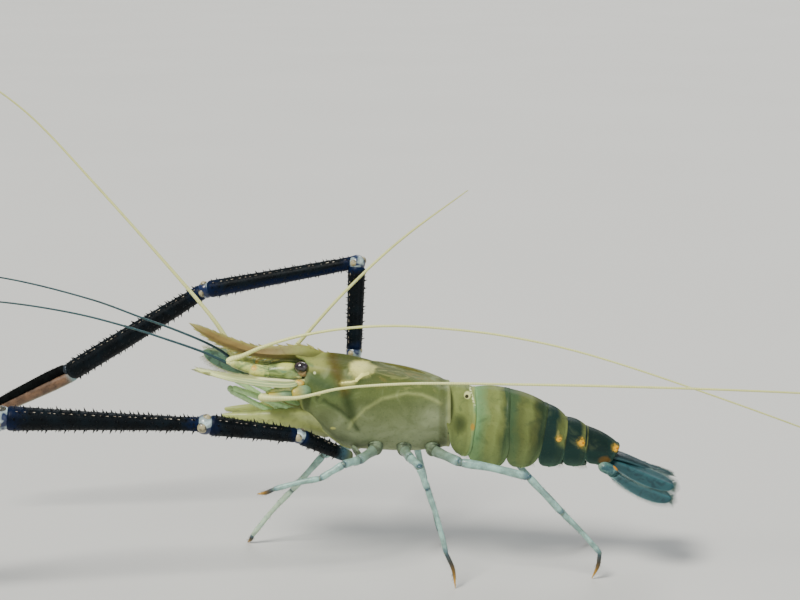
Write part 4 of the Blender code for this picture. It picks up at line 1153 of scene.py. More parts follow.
def build_claw(label, palm, palm_end, tip, draw):
    way, girth = palm.way, palm.girth[1]
    over = (UP - way * way.z).normalized()
    claw, palm_node, finger_node = f"claw_{label}", f"arm_palm_{label}", f"arm_finger_{label}"
    low = palm_end - over * girth * FIXED_SET - way * girth * 1.2
    low_tip = tip - over * girth * 0.2
    fixed = finger_stops(low, low_tip, girth * FIXED_THICK, over * girth * 0.12)
    high = palm_end + over * girth * MOVING_SET - way * girth * 0.6
    high_tip = tip + over * girth * 0.3 + way * 1.5
    moving = finger_stops(high, high_tip, girth * MOVING_THICK, over * girth * -0.15)
    form = {"along": 60, "around": 28, "squash": 1.05}
    limb(f"{claw}_fixed_finger", fixed, "fixed_finger", "arm_blue", palm_node, **form)
    limb(f"{claw}_moving_finger", moving, "moving_finger", "arm_blue", finger_node, **form)
    teeth = Piece(bristly=True)
    claw_teeth(teeth, Route(fixed), over, 13, 0.14, 0.72, (1, 2), (1.35, 0.8), (1, 0.8, 0.75), 0.2)
    claw_teeth(teeth, Route(moving), -over, 11, 0.1, 0.7, (2,), (1.3, 0.75), (0.9, 0.7, 0.7), 0.7)
    teeth.show(f"{claw}_teeth", "claw_tooth", "arm_blue", palm_node, finger_node)
    hinge = Piece()
    across = way.cross(over).normalized()
    spot = palm_end + over * girth * MOVING_SET * 0.7 - way * girth * 0.55
    hinge.ball(spot, (girth * 0.56,) * 3, 26, 18)
    for sign in (-1, 1):
        hinge.ball(spot + across * (girth * 0.5 * sign), (girth * 0.2,) * 3, 16, 12)
    hinge.show(f"{claw}_hinge", "hinge", "arm_blue", finger_node)
    velvet, hairs = Piece(bristly=True), Piece(bristly=True)
    height = length_of("velvet_length")
    scatter_hairs(velvet, moving, 1500, height, draw, half=0.09, lean=0.8, low=0.06, high=0.93)
    velvet.show(f"{claw}_velvet", "velvet", "arm_blue", finger_node)
    scatter_hairs(hairs, fixed, 260, 1, draw, half=0.08, lean=0.9, low=0.06, high=0.93)
    hairs.show(f"{claw}_hairs", "velvet", "arm_blue", palm_node)


# Edges between the tail's plates: back and belly (along, up), then half width
ABDOMEN_EDGES = (
    ((20, 93.4), (21, 60), 14.6), ((36, 91.3), (35, 55.5), 14.9), ((53, 90.6), (50, 54.2), 14.6),
    ((72, 83), (65, 54.4), 13.4), ((81.5, 76.2), (77.5, 54.2), 12), ((91.5, 71.6), (89, 53.8), 10.2),
    ((107.5, 62.6), (101.5, 52.4), 6.6),
)
PLATE_PROFILE = Curve([
    (0, 0), (0.03, 0.26), (0.11, 0.5), (0.23, 0.71), (0.38, 0.88), (0.54, 0.98), (0.68, 1), (0.85, 0.985),
    (1, 0.93),
])
PLATES = (1, 2, 3, 4, 5, 6)
PLATE_NODES = [f"abdomen_{number}" for number in PLATES]
# Each plate's front and rear shares at the back, its flap's middle share, width factor and reach
PLATE_FORMS = {
    1: (0.02, 1.08, 0.6, 0.8, 0.92), 2: (-0.02, 1.06, 0.46, 1.3, 1.03), 3: (-0.12, 1.05, 0.54, 1.06, 1.02),
    4: (-0.14, 1.08, 0.55, 1.06, 1.02), 5: (-0.14, 1.1, 0.55, 1.04, 1.02), 6: (-0.1, 1.03, 0.5, 0.98, 0.95),
}


def tail_section(number, share):
    """Back, belly and half width at a share of the way down the stretch of one plate."""
    near, far = ABDOMEN_EDGES[number - 1], ABDOMEN_EDGES[number]
    back, belly = ((x, 0, z) for x, z in (between(near[k], far[k], share) for k in (0, 1)))
    return back, belly, near[2] + (far[2] - near[2]) * share


def plate_point(number, u, t):
    """A point of a tail plate: u runs from its front to its rear, t from -1 at the left flap to 1."""
    front, rear, middle, wide, reach = PLATE_FORMS[number]
    down = abs(t)
    depth = (1 - math.cos(math.pi * min(down, 0.5))) * 0.3 + max(down - 0.5, 0) * 1.4
    lobe = max(depth - 0.6, 0) / 0.4
    narrow = max(1 - lobe ** 3, 0) ** 0.5
    flank = eased_step(depth, 0.3, 0.72)
    a = front + (middle - 0.5 * wide - front) * flank
    b = rear + (middle + 0.5 * wide - rear) * flank
    share = middle + (a + (b - a) * u - middle) * narrow
    back, belly, half = tail_section(number, share)
    back, belly = Vector(back), Vector(belly)
    crown = math.sin(math.pi * min(max(share, 0), 1))
    line = back + (back - belly).normalized() * crown + (belly - back) * (depth * reach)
    flare = 1 + (0.055 if number == 2 else 0.03) * eased_step(u, 0.5, 1)
    width = (half + 0.35 * crown) * PLATE_PROFILE.at(min(depth, 1))[0] * flare
    return Vector((line.x, math.copysign(width, t) if t else 0, line.z)), depth, lobe


def build_plate(number):
    """A plate with two faces that meet in a thin edge, and a raised band before its rear edge."""
    piece = Piece(marks=("depth", "rim"))
    along, half_around = 36, 96
    thickness = length_of("plate_thickness")
    step = 0.01

    def surface(u, t):
        return plate_point(number, u, t)[0]

    def place(i, j):
        u = i / along
        outer = j <= half_around
        t = -1 + 2 * j / half_around if outer else 3 - 2 * j / half_around
        point, depth, lobe = plate_point(number, u, t)
        down = surface(u, min(t + step, 1)) - surface(u, max(t - step, -1))
        ahead = surface(min(u + step, 1), t) - surface(max(u - step, 0), t)
        way = ahead.cross(down)
        way = way.normalized() if way.length > 1e-6 else Vector((0, t, 0))
        if way.dot(Vector((0, t, 0.5 - abs(t)))) < 0:
            way = -way
        thin = min(min(u, 1 - u) * 22, 1) ** 0.5 * min((1 - abs(t)) * 22, 1) ** 0.5
        lift = thickness / 2 * thin * (1 if outer else -1)
        rim = max(bell(u, 1, 0.05), bell(lobe, 1, 0.14) if lobe > 0 else 0)
        rim = max(rim, bell(u, 0, 0.05) * eased_step(depth, 0.5, 0.7))
        if outer:
            lift += 0.22 * bell(u, 0.955, 0.03) - 0.18 * bell(u, 0.88, 0.03)
        return point + way * lift, u, depth, rim

    piece.sheet(along, 2 * half_around, place)
    piece.show(f"abdomen_{number}_plate", f"plate_{number}", "tail_banded", f"abdomen_{number}", sharp=70)


# The stretches between the edges of the plates, a little short of the last edge
CORE_STRETCHES = 5.999


def build_tail_core():
    """The flesh and underside between the plates, painted dark as the shade between them."""
    piece = Piece()
    along, around = 70, 48

    def place(i, j):
        share = i / along
        number = int(share * CORE_STRETCHES)
        back, belly, half = tail_section(number + 1, share * CORE_STRETCHES - number)
        back, belly = Vector(back), Vector(belly)
        belly = back + (belly - back) * 0.78
        end = min(1, (share / 0.03) ** 0.5, ((1 - share) / 0.03) ** 0.5)
        middle = back + (belly - back) * 0.5
        depth, side = round_place(j, around)
        width = (half - 1.4) * min(PLATE_PROFILE.at(depth * 0.78)[0], ((1 - depth) / 0.2) ** 0.5) * end
        spot = back + (belly - back) * (0.05 + 0.95 * depth)
        return middle + (spot - middle) * end - ACROSS * (side * width), share

    piece.sheet(along, around, place)
    piece.show("abdomen_core", "core", "tail_banded", *PLATE_NODES)


# The two leaves on each side: distance from the middle, spread and size
SWIMMERET_LEAVES = ((3, 0, 0.85), (6, 2, 1))
# Down a leaf: way back, shares of the spread and of the reach, and half width
SWIMMERET_STOPS = ((0, 0, 0, 1.6), (1.5, 0.4, 0.4, 2.6), (4, 0.7, 0.75, 2.4), (7.5, 1, 1, 0.8))


def build_swimmerets():
    draw = random.Random(77)
    leaves, hairs = Piece(marks=("rib", "cross")), Piece(bristly=True)
    for number in PLATES[:5]:
        back, belly, _ = tail_section(number, 0.45)
        x, _, z = between(back, belly, 0.7)
        reach = (back[2] - belly[2]) * 0.25
        for side, _ in SIDES:
            for inner, spread, size in SWIMMERET_LEAVES:
                stops = [
                    (x + back_by, side * inner + side * spread * out, z - reach * down * size, half)
                    for back_by, out, down, half in SWIMMERET_STOPS
                ]
                route = leaf(leaves, stops, (0.3, side, 0.2), 0.5, rib=0.2, along=20, around=16)
                for sign in (-1, 1):
                    fringe(hairs, route, sign, 0.35, 0.98, 26, 2.4, 1, draw)
    leaves.show("swimmerets", "swimmeret", "tail_banded", *PLATE_NODES[:5])
    hairs.show("swimmeret_hairs", "fringe", "tail_banded", *PLATE_NODES[:5])


TELSON = (
    (101.5, 0, 58, 5.4), (110, 0, 55.6, 5.2), (120, 0, 51.8, 4.2), (128, 0, 48.9, 2.8), (134, 0, 46.9, 0.9),
)
INNER_LEAF = (
    (102, -3.4, 55, 2.4), (108, -5.2, 53.4, 4.2), (117, -7.6, 49.8, 5.6), (127, -9.6, 46.2, 5.2),
    (133.8, -10.6, 44, 2.6),
)
OUTER_LEAF = (
    (100.5, -4.8, 51.8, 2), (106, -8.4, 49.2, 3.5), (115, -12.6, 45.2, 5), (125, -15.4, 41.6, 4.8),
    (131.8, -16.4, 39.6, 2.2),
)
# The two leaves on each side of the fan, with the tilt of each
FAN_LEAVES = (("inner", INNER_LEAF, 0.6), ("outer", OUTER_LEAF, 0.75))
PROTOPOD = ((97, -6.6, 54.8, 2.8), (100, -7.6, 53.2, 3.5), (103.4, -8.2, 51.6, 3.2), (106.4, -8.6, 50.4, 2.2))


def build_telson():
    blade, spines = Piece(marks=("rib", "cross")), Piece(bristly=True)
    route = leaf(blade, TELSON, (0.3, 0, 0.95), 2.7, rib=0.4, along=60, thin=0.78)
    blade.show("telson_blade", "telson", "tail_blue", "telson")
    for side, _ in SIDES:
        for share in (0.55, 0.76):
            middle, ahead, across, over, half = route.frame(share)
            spot = middle + across * (half * 0.62 * side) + over * 1
            way = (ahead + over * 0.25).normalized()
            spines.spike(spot, way, 2.2, 0.35, sides=6, mark=(share, 0.5), tip=0.1)
        middle, ahead, across, over, half = route.frame(0.985)
        way = (ahead + across * side * 0.25).normalized()
        spines.spike(middle + across * (0.6 * side), way, 3, 0.35, sides=6, mark=(0.9, 0.5), tip=0.1)
    spines.show("telson_spines", "telson_spine", "tail_blue", "telson")


def end_fringe(piece, route, count=40):
    """Longer hairs that fan out over the end of a leaf."""
    middle, ahead, across, _, half = route.frame(0.97)
    for k in range(count):
        off = (k - (count - 1) / 2) / (count / 2)
        way = (ahead + across * off * 0.5).normalized()
        root, mark = middle + across * (half * 0.85 * off), (0.97, 0.5 + off * 0.4)
        piece.spike(root, way, 4.4 - 1.4 * abs(off), 0.1, sides=3, mark=mark)


def build_uropods():
    draw = random.Random(5)
    for side, label in SIDES:
        for kind, stops, tilt in FAN_LEAVES:
            node = f"uropod_{kind}_{label}"
            blade, hairs = Piece(marks=("rib", "cross")), Piece(bristly=True)
            normal = (0.25, tilt * side, 0.85)
            route = leaf(blade, on_side(stops, side), normal, 0.55, rib=0.42, along=70, rib_at=0.12 * side)
            blade.show(f"{node}_blade", f"fan_{kind}", "tail_blue", node)
            for sign in (-1, 1):
                first = 0.45 if sign == side else 0.15
                fringe(hairs, route, sign, first, 0.99, 120, length_of("fan_hair_length"), 1.2, draw)
            end_fringe(hairs, route)
            hairs.show(f"{node}_hairs", "fan_hair", "tail_blue", node)
        limb(
            f"uropod_base_{label}", on_side(PROTOPOD, side), "protopod", "tail_blue",
            f"uropod_outer_{label}", along=24, squash=0.8,
        )


# Straight marks of the shell under its pale patch: two ends, width, softness, strength and tone; the first
# two are the shell's own colour, the last is painted shade down the cheek beside the neck groove
SHELL_MARKS_AND_SHADE = (
    ((-48, 106.8), (-42, 104.6), 0.5, 1, 0.7, (0.09, 0.19, 0.085)),
    ((-33, 108.4), (-26, 92), 2.2, 2.6, 0.85, (0.12, 0.095, 0.024)),
    ((-26, 91), (-22.4, 81), 2.2, 2.8, 0.75, (0.05, 0.075, 0.026)),
)
# Straight marks over the pale patch
SHELL_LINES = (
    ((-28, 97.4), (-22, 97.8), 0.8, 1.6, 0.7, ("shell_pale", 1)),
    ((-43.2, 99.2), (-31.3, 93.6), 2.2, 2.6, 0.55, (0.06, 0.105, 0.062)),
)
# The bright crooked line that ends in the patch: two ends, width and softness
SHELL_BOLT = (
    ((-27.9, 97.7), (-21, 98.6), 0.4, 1), ((-21, 98.8), (-18, 101.4), 0.9, 1.1),
    ((-19, 100.8), (-15.2, 101.6), 0.7, 0.9),
)
PALE_PATCH = ((-19.6, 6, 101.2), (8.6, 9, 5), 0.9)
SHELL_SPOTS = (
    ((-41, 10, 101.6), (0.7, 4, 0.7), 0.6, 1, (0.66, 0.69, 0.44)),
    ((-32.4, 12, 73.9), (1.3, 6, 0.7), 0.6, 1, (0.62, 0.62, 0.24)),
)


def shell_paint():
    """Olive, paler below, with the saddle, the patches and the lines of the photo's side on both sides."""
    p = Paint("prawn_shell", roughness=0.5, coat=0.02, flesh=0.12, specular=0.14)
    x, z = p.along(), p.height()
    cloud, fine = p.noise(11, 4, warp=0.8), p.noise(1.4, 3)
    p.colour = p.mix(z.step(62, 96), hue("shell_low"), hue("shell_high"))
    p.lay(z.step(95, 102), (0.105, 0.122, 0.038))
    p.lay(x.step(-20, -34) * z.step(82, 90) * z.step(104, 99), (0.155, 0.2, 0.085))
    p.lay(x.step(-4, 22) * z.step(94, 80), hue("shell_low", 0.95))
    p.lay(cloud.step(0.46, 0.7) * 0.38, (0.105, 0.135, 0.055))
    p.lay(cloud.step(0.48, 0.3) * 0.4, hue("shell_low", 1.25))
    p.lay(x.step(-30, -39) * z.step(100.5, 104), (0.33, 0.35, 0.135))
    # Dark marks of the shell, the last of them painted shade down the cheek beside the neck groove.
    p.strokes(SHELL_MARKS_AND_SHADE)
    patch = p.spot_mask(*PALE_PATCH) + (p.noise(4, 3, warp=1) - 0.5) * 0.7
    p.lay(patch.step(0.25, 0.85) * 0.95, hue("shell_pale"))
    p.strokes(SHELL_LINES)
    bolt = p.stroke(*SHELL_BOLT[0]).most(p.stroke(*SHELL_BOLT[1])).most(p.stroke(*SHELL_BOLT[2]))
    ragged = p.noise(2.2, 3, warp=1.2)
    p.lay((bolt + (ragged - 0.5) * 0.9).step(0.42, 0.74), hue("shell_pale", 1.35))
    warm = p.noise(6, 3, (0.4, 1, 1), warp=1.2)
    p.lay(warm.step(0.5, 0.66) * z.step(92, 98) * x.step(-14, -8) * 0.55, (0.23, 0.2, 0.07))
    p.lay(warm.step(0.44, 0.34) * z.step(90, 97) * x.step(-16, -6) * 0.45, (0.33, 0.34, 0.15))
    # Painted shade along the grooves of the shell.
    p.lay(p.mark("groove") * 0.65, (0.055, 0.085, 0.032))
    p.lay(p.mark("ridge") * 0.42, (0.5, 0.54, 0.26))
    p.lay(p.mark("rim") * x.step(0, -20) * z.step(97, 93), (0.46, 0.5, 0.22))
    p.lay(x.step(17.8, 19.8) * x.step(22.8, 21.2) * 0.45, (0.11, 0.13, 0.05))
    p.lay(x.step(22.3, 23.3) * 0.3, (0.48, 0.5, 0.22))
    p.spots(SHELL_SPOTS)
    p.lay(fine.step(0.56, 0.72) * 0.22, (0.06, 0.09, 0.04))
    specks = p.cells(0.8).step(0.22, 0.12)
    p.lay(specks * cloud.step(0.36, 0.6) * 0.3, (0.44, 0.45, 0.21))
    pits = p.cells(1.2).step(0, 0.5)
    return p.done(fine * 0.2 + 0.46, pits * 0.5 + fine * 0.6, 0.08)


# Dark olive of the inner body under the head shell and between the tail's plates: painted shade, as these
# parts lie in shade.
def core_paint():
    p = Paint("prawn_flesh", roughness=0.45, coat=0.1, flesh=0.2)
    p.colour = p.mix(p.noise(5), (0.045, 0.07, 0.035), (0.15, 0.185, 0.09))
    return p.done(None, p.noise(1.2), 0.2)


def rostrum_paint():
    p = Paint("prawn_rostrum", roughness=0.5, coat=0.03, flesh=0.15, specular=0.2)
    x, z = p.along(), p.height()
    edge, fine = p.mark("edge"), p.noise(1.6)
    band = p.mix(p.noise(4, 3, (0.3, 1, 1)), hue("rostrum_tan", 0.5), hue("rostrum_tan"))
    base = p.mix(p.noise(5, 3, (0.25, 1, 1)), (0.125, 0.138, 0.045), (0.265, 0.275, 0.098))
    base = p.mix(z.step(107.6, 110.6) * x.step(-62, -50) * 0.7, base, (0.32, 0.34, 0.12))
    base = p.mix(x.step(-37, -26), base, (0.165, 0.17, 0.054))
    p.colour = p.mix(x.step(-46, -66), base, band)
    p.lay(edge.step(0.45, 1) * x.step(-50, -66) * 0.6, (0.36, 0.37, 0.14))
    p.lay(p.band(z, 105.2, 106.4, 0.8) * x.step(-60, -50) * 0.6, (0.1, 0.14, 0.05))
    p.lay(fine.step(0.55, 0.72) * 0.3, (0.11, 0.08, 0.035))
    p.lay(x.step(-92, -102) * 0.7, (0.4, 0.4, 0.2))
    return p.done(fine * 0.2 + 0.34, fine, 0.08)


def plain_paint(name, dark, light, size=3, roughness=0.4, coat=0.12, flesh=0.1, specular=0.4):
    """A mottled colour between two, with a fine grain."""
    p = Paint(f"prawn_{name}", roughness=roughness, coat=coat, flesh=flesh, specular=specular)
    cloud, fine = p.noise(size, 3), p.noise(size * 0.3, 2)
    p.colour = p.mix(cloud.step(0.34, 0.66), dark, light)
    return p.done(fine * 0.2 + (roughness - 0.1), fine, 0.06)


def ramp_paint(name, *stops):
    """Colour stops down the piece's own length, mottled darker."""
    p = Paint(f"prawn_{name}", roughness=0.4, coat=0.15, flesh=0.12)
    cloud, fine = p.noise(2.5, 3), p.noise(0.75, 2)
    p.colour = p.ramp(p.share() + (cloud - 0.5) * 0.1, *stops)
    p.lay(cloud.step(0.48, 0.72) * 0.3, p.mix(0.65, p.colour, (0.02, 0.03, 0.02)))
    return p.done(fine * 0.2 + 0.3, fine, 0.06)


CREAM = (0.64, 0.68, 0.28)
# Each part's dark and light marbling, then its spots
ANTENNULE_TONES = {
    1: ((0.15, 0.21, 0.085), (0.33, 0.4, 0.17)),
    2: ((0.24, 0.33, 0.15), CREAM),
    3: ((0.24, 0.33, 0.15), CREAM),
}
ANTENNULE_SPOTS = {
    1: (
        ((-55.2, 8, 104.2), (3.9, 6, 1.7), 0.7, 1, (0.62, 0.65, 0.23)),
        ((-51.5, 8, 99), (3.6, 6, 1.6), 1, 0.7, (0.4, 0.5, 0.28)),
    ),
    2: (
        ((-70, 8, 101), (2.4, 6, 1.8), 1, 0.9, (0.74, 0.73, 0.3)),
        ((-70.4, 8, 103.4), (1.5, 6, 1.1), 0.9, 0.9, (0.7, 0.43, 0.09)),
    ),
    3: (),
}


def antennule_paint(name, part):
    """Cream, olive and sea green, marbled; part 1 has the pale oval before the eye."""
    p = Paint(f"prawn_{name}", roughness=0.4, coat=0.15, flesh=0.2)
    cloud, fine = p.noise(3, 3, (0.5, 1, 1), 0.9), p.noise(0.9)
    p.colour = p.mix(cloud.step(0.36, 0.6), *ANTENNULE_TONES[part])
    p.lay(cloud.step(0.56, 0.7) * 0.6, (0.14, 0.29, 0.19))
    p.spots(ANTENNULE_SPOTS[part])
    if part == 3:
        p.lay(p.share().step(0.55, 1) * 0.8, (0.78, 0.78, 0.34))
    p.lay(fine.step(0.54, 0.7) * 0.3, (0.1, 0.14, 0.06))
    return p.done(fine * 0.2 + 0.3, fine, 0.06)


def eye_paint():
    p = Paint("prawn_eye", roughness=0.1, coat=1, specular=0.5)
    facets = p.cells(0.22)
    p.colour = p.mix(p.noise(1.6), hue("eye_dark", 0.2), hue("eye_dark"))
    # Purplish rays over the upper half of the eye: painted glints of the light from above.
    rays = p.noise(0.9, 2, (1, 1, 0.3)).step(0.52, 0.66)
    above = p.height().step(103.6, 105.8)
    p.lay(rays * above * 0.7, (0.15, 0.075, 0.11))
    return p.done(facets * 0.06 + 0.08, facets, 0.01)


def stalk_paint():
    p = Paint("prawn_eyestalk", roughness=0.4, coat=0.3, flesh=0.25)
    share, fine = p.share(), p.noise(0.9)
    p.colour = p.ramp(
        share, (0, 0.46, 0.42, 0.17), (0.35, 0.56, 0.46, 0.24), (0.65, "stalk_pink"),
        (0.85, "stalk_pink", 0.85), (1, "stalk_pink", 0.6),
    )
    p.lay(fine.step(0.52, 0.66) * 0.35, (0.16, 0.08, 0.04))
    return p.done(None, fine, 0.05)


def feeler_paint(name, tone, *strengths):
    """A feeler's fine rings on a colour of the user's, with its strengths as shade, light and root."""
    p = Paint(f"prawn_{name}", roughness=0.42, coat=0.12, flesh=0.25)
    share = p.share()
    dark, light, root = (hue(tone, strength) for strength in strengths)
    rings = (share * 1600).sine().step(-0.4, 0.8)
    cloud = p.noise(14, 2)
    p.colour = p.mix(share.step(0.04, 0), light, root)
    p.lay(share.step(0.55, 1) * 0.5, dark)
    p.lay(cloud.step(0.5, 0.72) * 0.35, dark)
    p.lay((1 - rings) * 0.22, dark)
    return p.done(rings * 0.1 + 0.35, rings, 0.04)


# Where the middle of a limb's upper and of its under side lies on its way round
OVER = 0.25
UNDER = 0.75


def arm_paint(name, both_ends, root=False, under=0):
    """Near black, deep blue towards the joints; a root pales towards the body, under is a blue underside."""
    p = Paint(f"prawn_{name}", roughness=0.5, coat=0.02, specular=0.1)
    share = p.share()
    cloud, fine = p.noise(9, 3, warp=0.5), p.noise(1, 3)
    p.colour = p.mix(cloud.step(0.4, 0.7), hue("arm_black", 0.4), hue("arm_black"))
    ends, rims = share.step(0.22, 0), share.step(0.03, 0.006)
    if both_ends:
        ends, rims = ends.most(share.step(0.78, 1)), rims.most(share.step(0.972, 0.994))
    patchy = (ends + (cloud - 0.5) * 1.3).step(0.4, 1.15)
    p.lay(patchy * 0.8, hue("arm_blue"))
    if under:
        below = abs(p.turn() - UNDER) + (cloud - 0.5) * 0.12
        p.lay(below.step(0.28, 0.16) * under, hue("arm_blue", 0.95))
    p.lay((rims + (cloud - 0.5) * 0.9).step(0.4, 1) * 0.7, (0.12, 0.21, 0.31))
    p.lay(fine.step(0.58, 0.76) * 0.3, (0.016, 0.028, 0.034))
    if root:
        p.lay((share.step(0.5, 0.12) + (cloud - 0.5) * 0.7).step(0.2, 0.9), (0.075, 0.135, 0.16))
        p.lay(share.step(0.22, 0.04), (0.15, 0.175, 0.09))
    return p.done(fine * 0.3 + 0.3, fine + p.cells(0.8) * 0.5, 0.1)


def knuckle_paint():
    p = Paint("prawn_knuckle", roughness=0.3, coat=0.4, flesh=0.1)
    cloud, fine = p.noise(6, 2, warp=0.4), p.noise(0.9)
    p.colour = p.mix(cloud.step(0.45, 0.56), hue("arm_blue", 1.4), hue("knuckle_pale", 0.7))
    p.lay(cloud.step(0.57, 0.66), hue("knuckle_pale", 1.2))
    p.lay(fine.step(0.56, 0.68) * 0.3, (0.04, 0.05, 0.06))
    return p.done(None, fine, 0.05)


def condyle_paint():
    p = Paint("prawn_condyle", roughness=0.32, coat=0.3, flesh=0.15)
    cloud = p.noise(3.4, 2)
    p.colour = p.mix(cloud.step(0.38, 0.58), (0.06, 0.06, 0.05), (0.44, 0.4, 0.26))
    p.lay(cloud.step(0.6, 0.72) * 0.7, (0.4, 0.29, 0.13))
    return p.done(None, p.noise(0.9), 0.04)


def finger_paint():
    """The fixed finger: dark above, brown pink at its middle and pale along its lower side."""
    p = Paint("prawn_fixed_finger", roughness=0.45, coat=0.15, flesh=0.1)
    share = p.share()
    cloud, fine = p.noise(5, 3), p.noise(0.9, 3)
    below = abs(p.turn() - UNDER).step(0.16, 0.04)
    above = abs(p.turn() - OVER).step(0.12, 0.03)
    p.colour = p.mix(cloud.step(0.35, 0.65), hue("finger_brown", 0.55), hue("finger_brown"))
    p.lay(below * 0.85, (0.3, 0.29, 0.19))
    p.lay(above * 0.8, (0.04, 0.02, 0.012))
    p.lay(share.step(0.1, 0), (0.26, 0.4, 0.43))
    p.lay(share.step(0.78, 1) * 0.8, (0.03, 0.016, 0.012))
    p.lay(fine.step(0.55, 0.72) * 0.35, (0.05, 0.028, 0.016))
    return p.done(fine * 0.2 + 0.34, fine, 0.07)


# The orange spots of the rear plates: place, size, and the lean of the pale streak above each
TAIL_SPOTS = {
    4: ((77, 13, 68.7), 0.7, -0.5), 5: ((88.2, 12, 66.4), 1.1, 0.4), 6: ((105.6, 6, 62.1), 0.95, -0.3),
}
# Spots of the first plate, with the pale ring near its back
PLATE_SPOTS = (
    ((28.8, 12, 76.6), (3.2, 6, 4.6), 1, 0.85, (0.055, 0.075, 0.03)),
    ((35, 13, 75.6), (1.1, 6, 1.7), 0.8, 0.9, (0.46, 0.3, 0.08)),
    ((32.6, 6, 89.4), (1.7, 6, 1.6), 0.4, 1, (0.64, 0.66, 0.34)),
    ((32.3, 6, 89), (1, 6, 0.8), 0.4, 1, (0.05, 0.05, 0.025)),
)
PLATE_EDGE_LINE = ((34.1, 91.8), (36.2, 84.4), 0.35, 0.4)


def lay_tail_spot(p, place, size, lean):
    """An orange spot with a brown halo, a pale streak above it and a darker point."""
    x, y, z = place
    ragged = p.noise(1.3, 3, warp=1.6) - 0.5
    halo = p.spot_mask((x, y, z + 0.4), (3.2 * size, 5, 3 * size), 1)
    streak = p.spot_mask((x + lean, y, z + 3.4 * size), (0.9, 4, 2.6), 0.8)
    core = p.spot_mask(place, (2 * size, 4, 1.7 * size), 1)
    core = core.most(p.spot_mask((x + lean, y, z + 1.5 * size), (size, 4, 1.3 * size), 1) * 0.7)
    point = p.spot_mask((x + 0.7 * size, y, z - 0.3), (0.55 * size, 4, 0.4 * size), 0.8)
    p.lay((halo + ragged * 1.6).step(0.35, 1.05) * 0.6, (0.26, 0.2, 0.05))
    p.lay((streak + ragged * 1.4).step(0.35, 1.05) * 0.5, (0.36, 0.33, 0.13))
    p.lay((core + ragged * 1.3).step(0.3, 1), hue("tail_spot"))
    p.lay(point * 0.9, (0.38, 0.11, 0.02))


def plate_paint(name, number, *stops):
    """Bands down a plate of the tail, clouded and speckled; the rear plates have dark flaps and a spot."""
    p = Paint(f"prawn_{name}", roughness=0.5, coat=0.03, flesh=0.08, specular=0.14)
    cloud, fine = p.noise(8, 4, warp=0.9), p.noise(1.3, 3)
    streak = p.noise(5, 3, (1, 1, 0.35))
    stops = [(place, f"tail_{tone}", strength) for place, tone, strength in stops]
    p.colour = p.ramp(p.share() + (streak - 0.5) * 0.34, *stops)
    light = p.mix(0.3, p.colour, (0.5, 0.54, 0.26))
    dark = p.mix(0.6, p.colour, (0.015, 0.036, 0.026))
    p.lay(cloud.step(0.46, 0.3) * 0.35, light)
    p.lay(cloud.step(0.52, 0.72) * 0.55, dark)
    depth = p.mark("depth")
    rim = p.mark("rim") * depth.step(0.45, 0.75)
    if number < 4:
        p.lay(depth.step(0.5, 0.9) * 0.5, (0.18, 0.23, 0.11))
        p.lay(rim * 0.38, (0.26, 0.35, 0.19))
    else:
        p.lay(depth.step(0.44, 0.6) * 0.92, hue("tail_dark", 1.1))
        p.lay(depth.step(0.72, 0.98) * 0.45, (0.09, 0.14, 0.11))
        p.lay(rim * 0.55, (0.13, 0.23, 0.16))
    p.lay(fine.step(0.56, 0.72) * 0.25, dark)
    p.lay(p.cells(0.8).step(0.22, 0.12) * cloud.step(0.36, 0.6) * 0.3, light)
    if number == 1:
        p.spots(PLATE_SPOTS)
        p.lay(p.stroke(*PLATE_EDGE_LINE) * fine.step(0.4, 0.52), (0.78, 0.82, 0.52))
    if number in TAIL_SPOTS:
        lay_tail_spot(p, *TAIL_SPOTS[number])
    if number == 6:
        belly = p.spot_mask((99.4, 8, 57.2), (3.6, 5, 2.2), 1)
        p.lay((belly + (cloud - 0.5) * 1.4).step(0.35, 1) * 0.6, (0.25, 0.13, 0.03))
    return p.done(fine * 0.2 + 0.46, p.cells(1.1) * 0.5 + fine * 0.6, 0.08)


# Colours from each plate's front to its rear, each a place, one of the tail's colours and its strength
PLATE_STOPS = {
    1: (
        (0, "olive", 1.05), (0.14, "olive", 0.8), (0.4, "olive", 1.25), (0.72, "olive", 1.05),
        (0.9, "olive", 1.5), (1, "sea", 1),
    ),
    2: (
        (0, "sea", 1.35), (0.2, "sea", 0.95), (0.45, "olive", 1.05), (0.66, "olive", 1.2),
        (0.8, "olive", 0.75), (0.9, "sea", 0.3), (1, "sea", 0.34),
    ),
    3: (
        (0, "sea", 0.34), (0.2, "sea", 0.42), (0.38, "olive", 0.65), (0.58, "olive", 0.9),
        (0.72, "olive", 0.5), (0.84, "sea", 0.2), (1, "sea", 0.22),
    ),
    4: (
        (0, "dark", 0.85), (0.5, "dark", 1), (0.68, "olive", 0.6), (0.88, "olive", 0.9),
        (0.96, "olive", 0.75), (1, "olive", 0.35),
    ),
    5: (
        (0, "dark", 0.75), (0.6, "dark", 0.85), (0.76, "olive", 0.55), (0.92, "olive", 0.75),
        (1, "olive", 0.28),
    ),
    6: ((0, "dark", 0.6), (0.6, "dark", 0.75), (0.94, "dark", 1.3), (1, "olive", 0.35)),
}


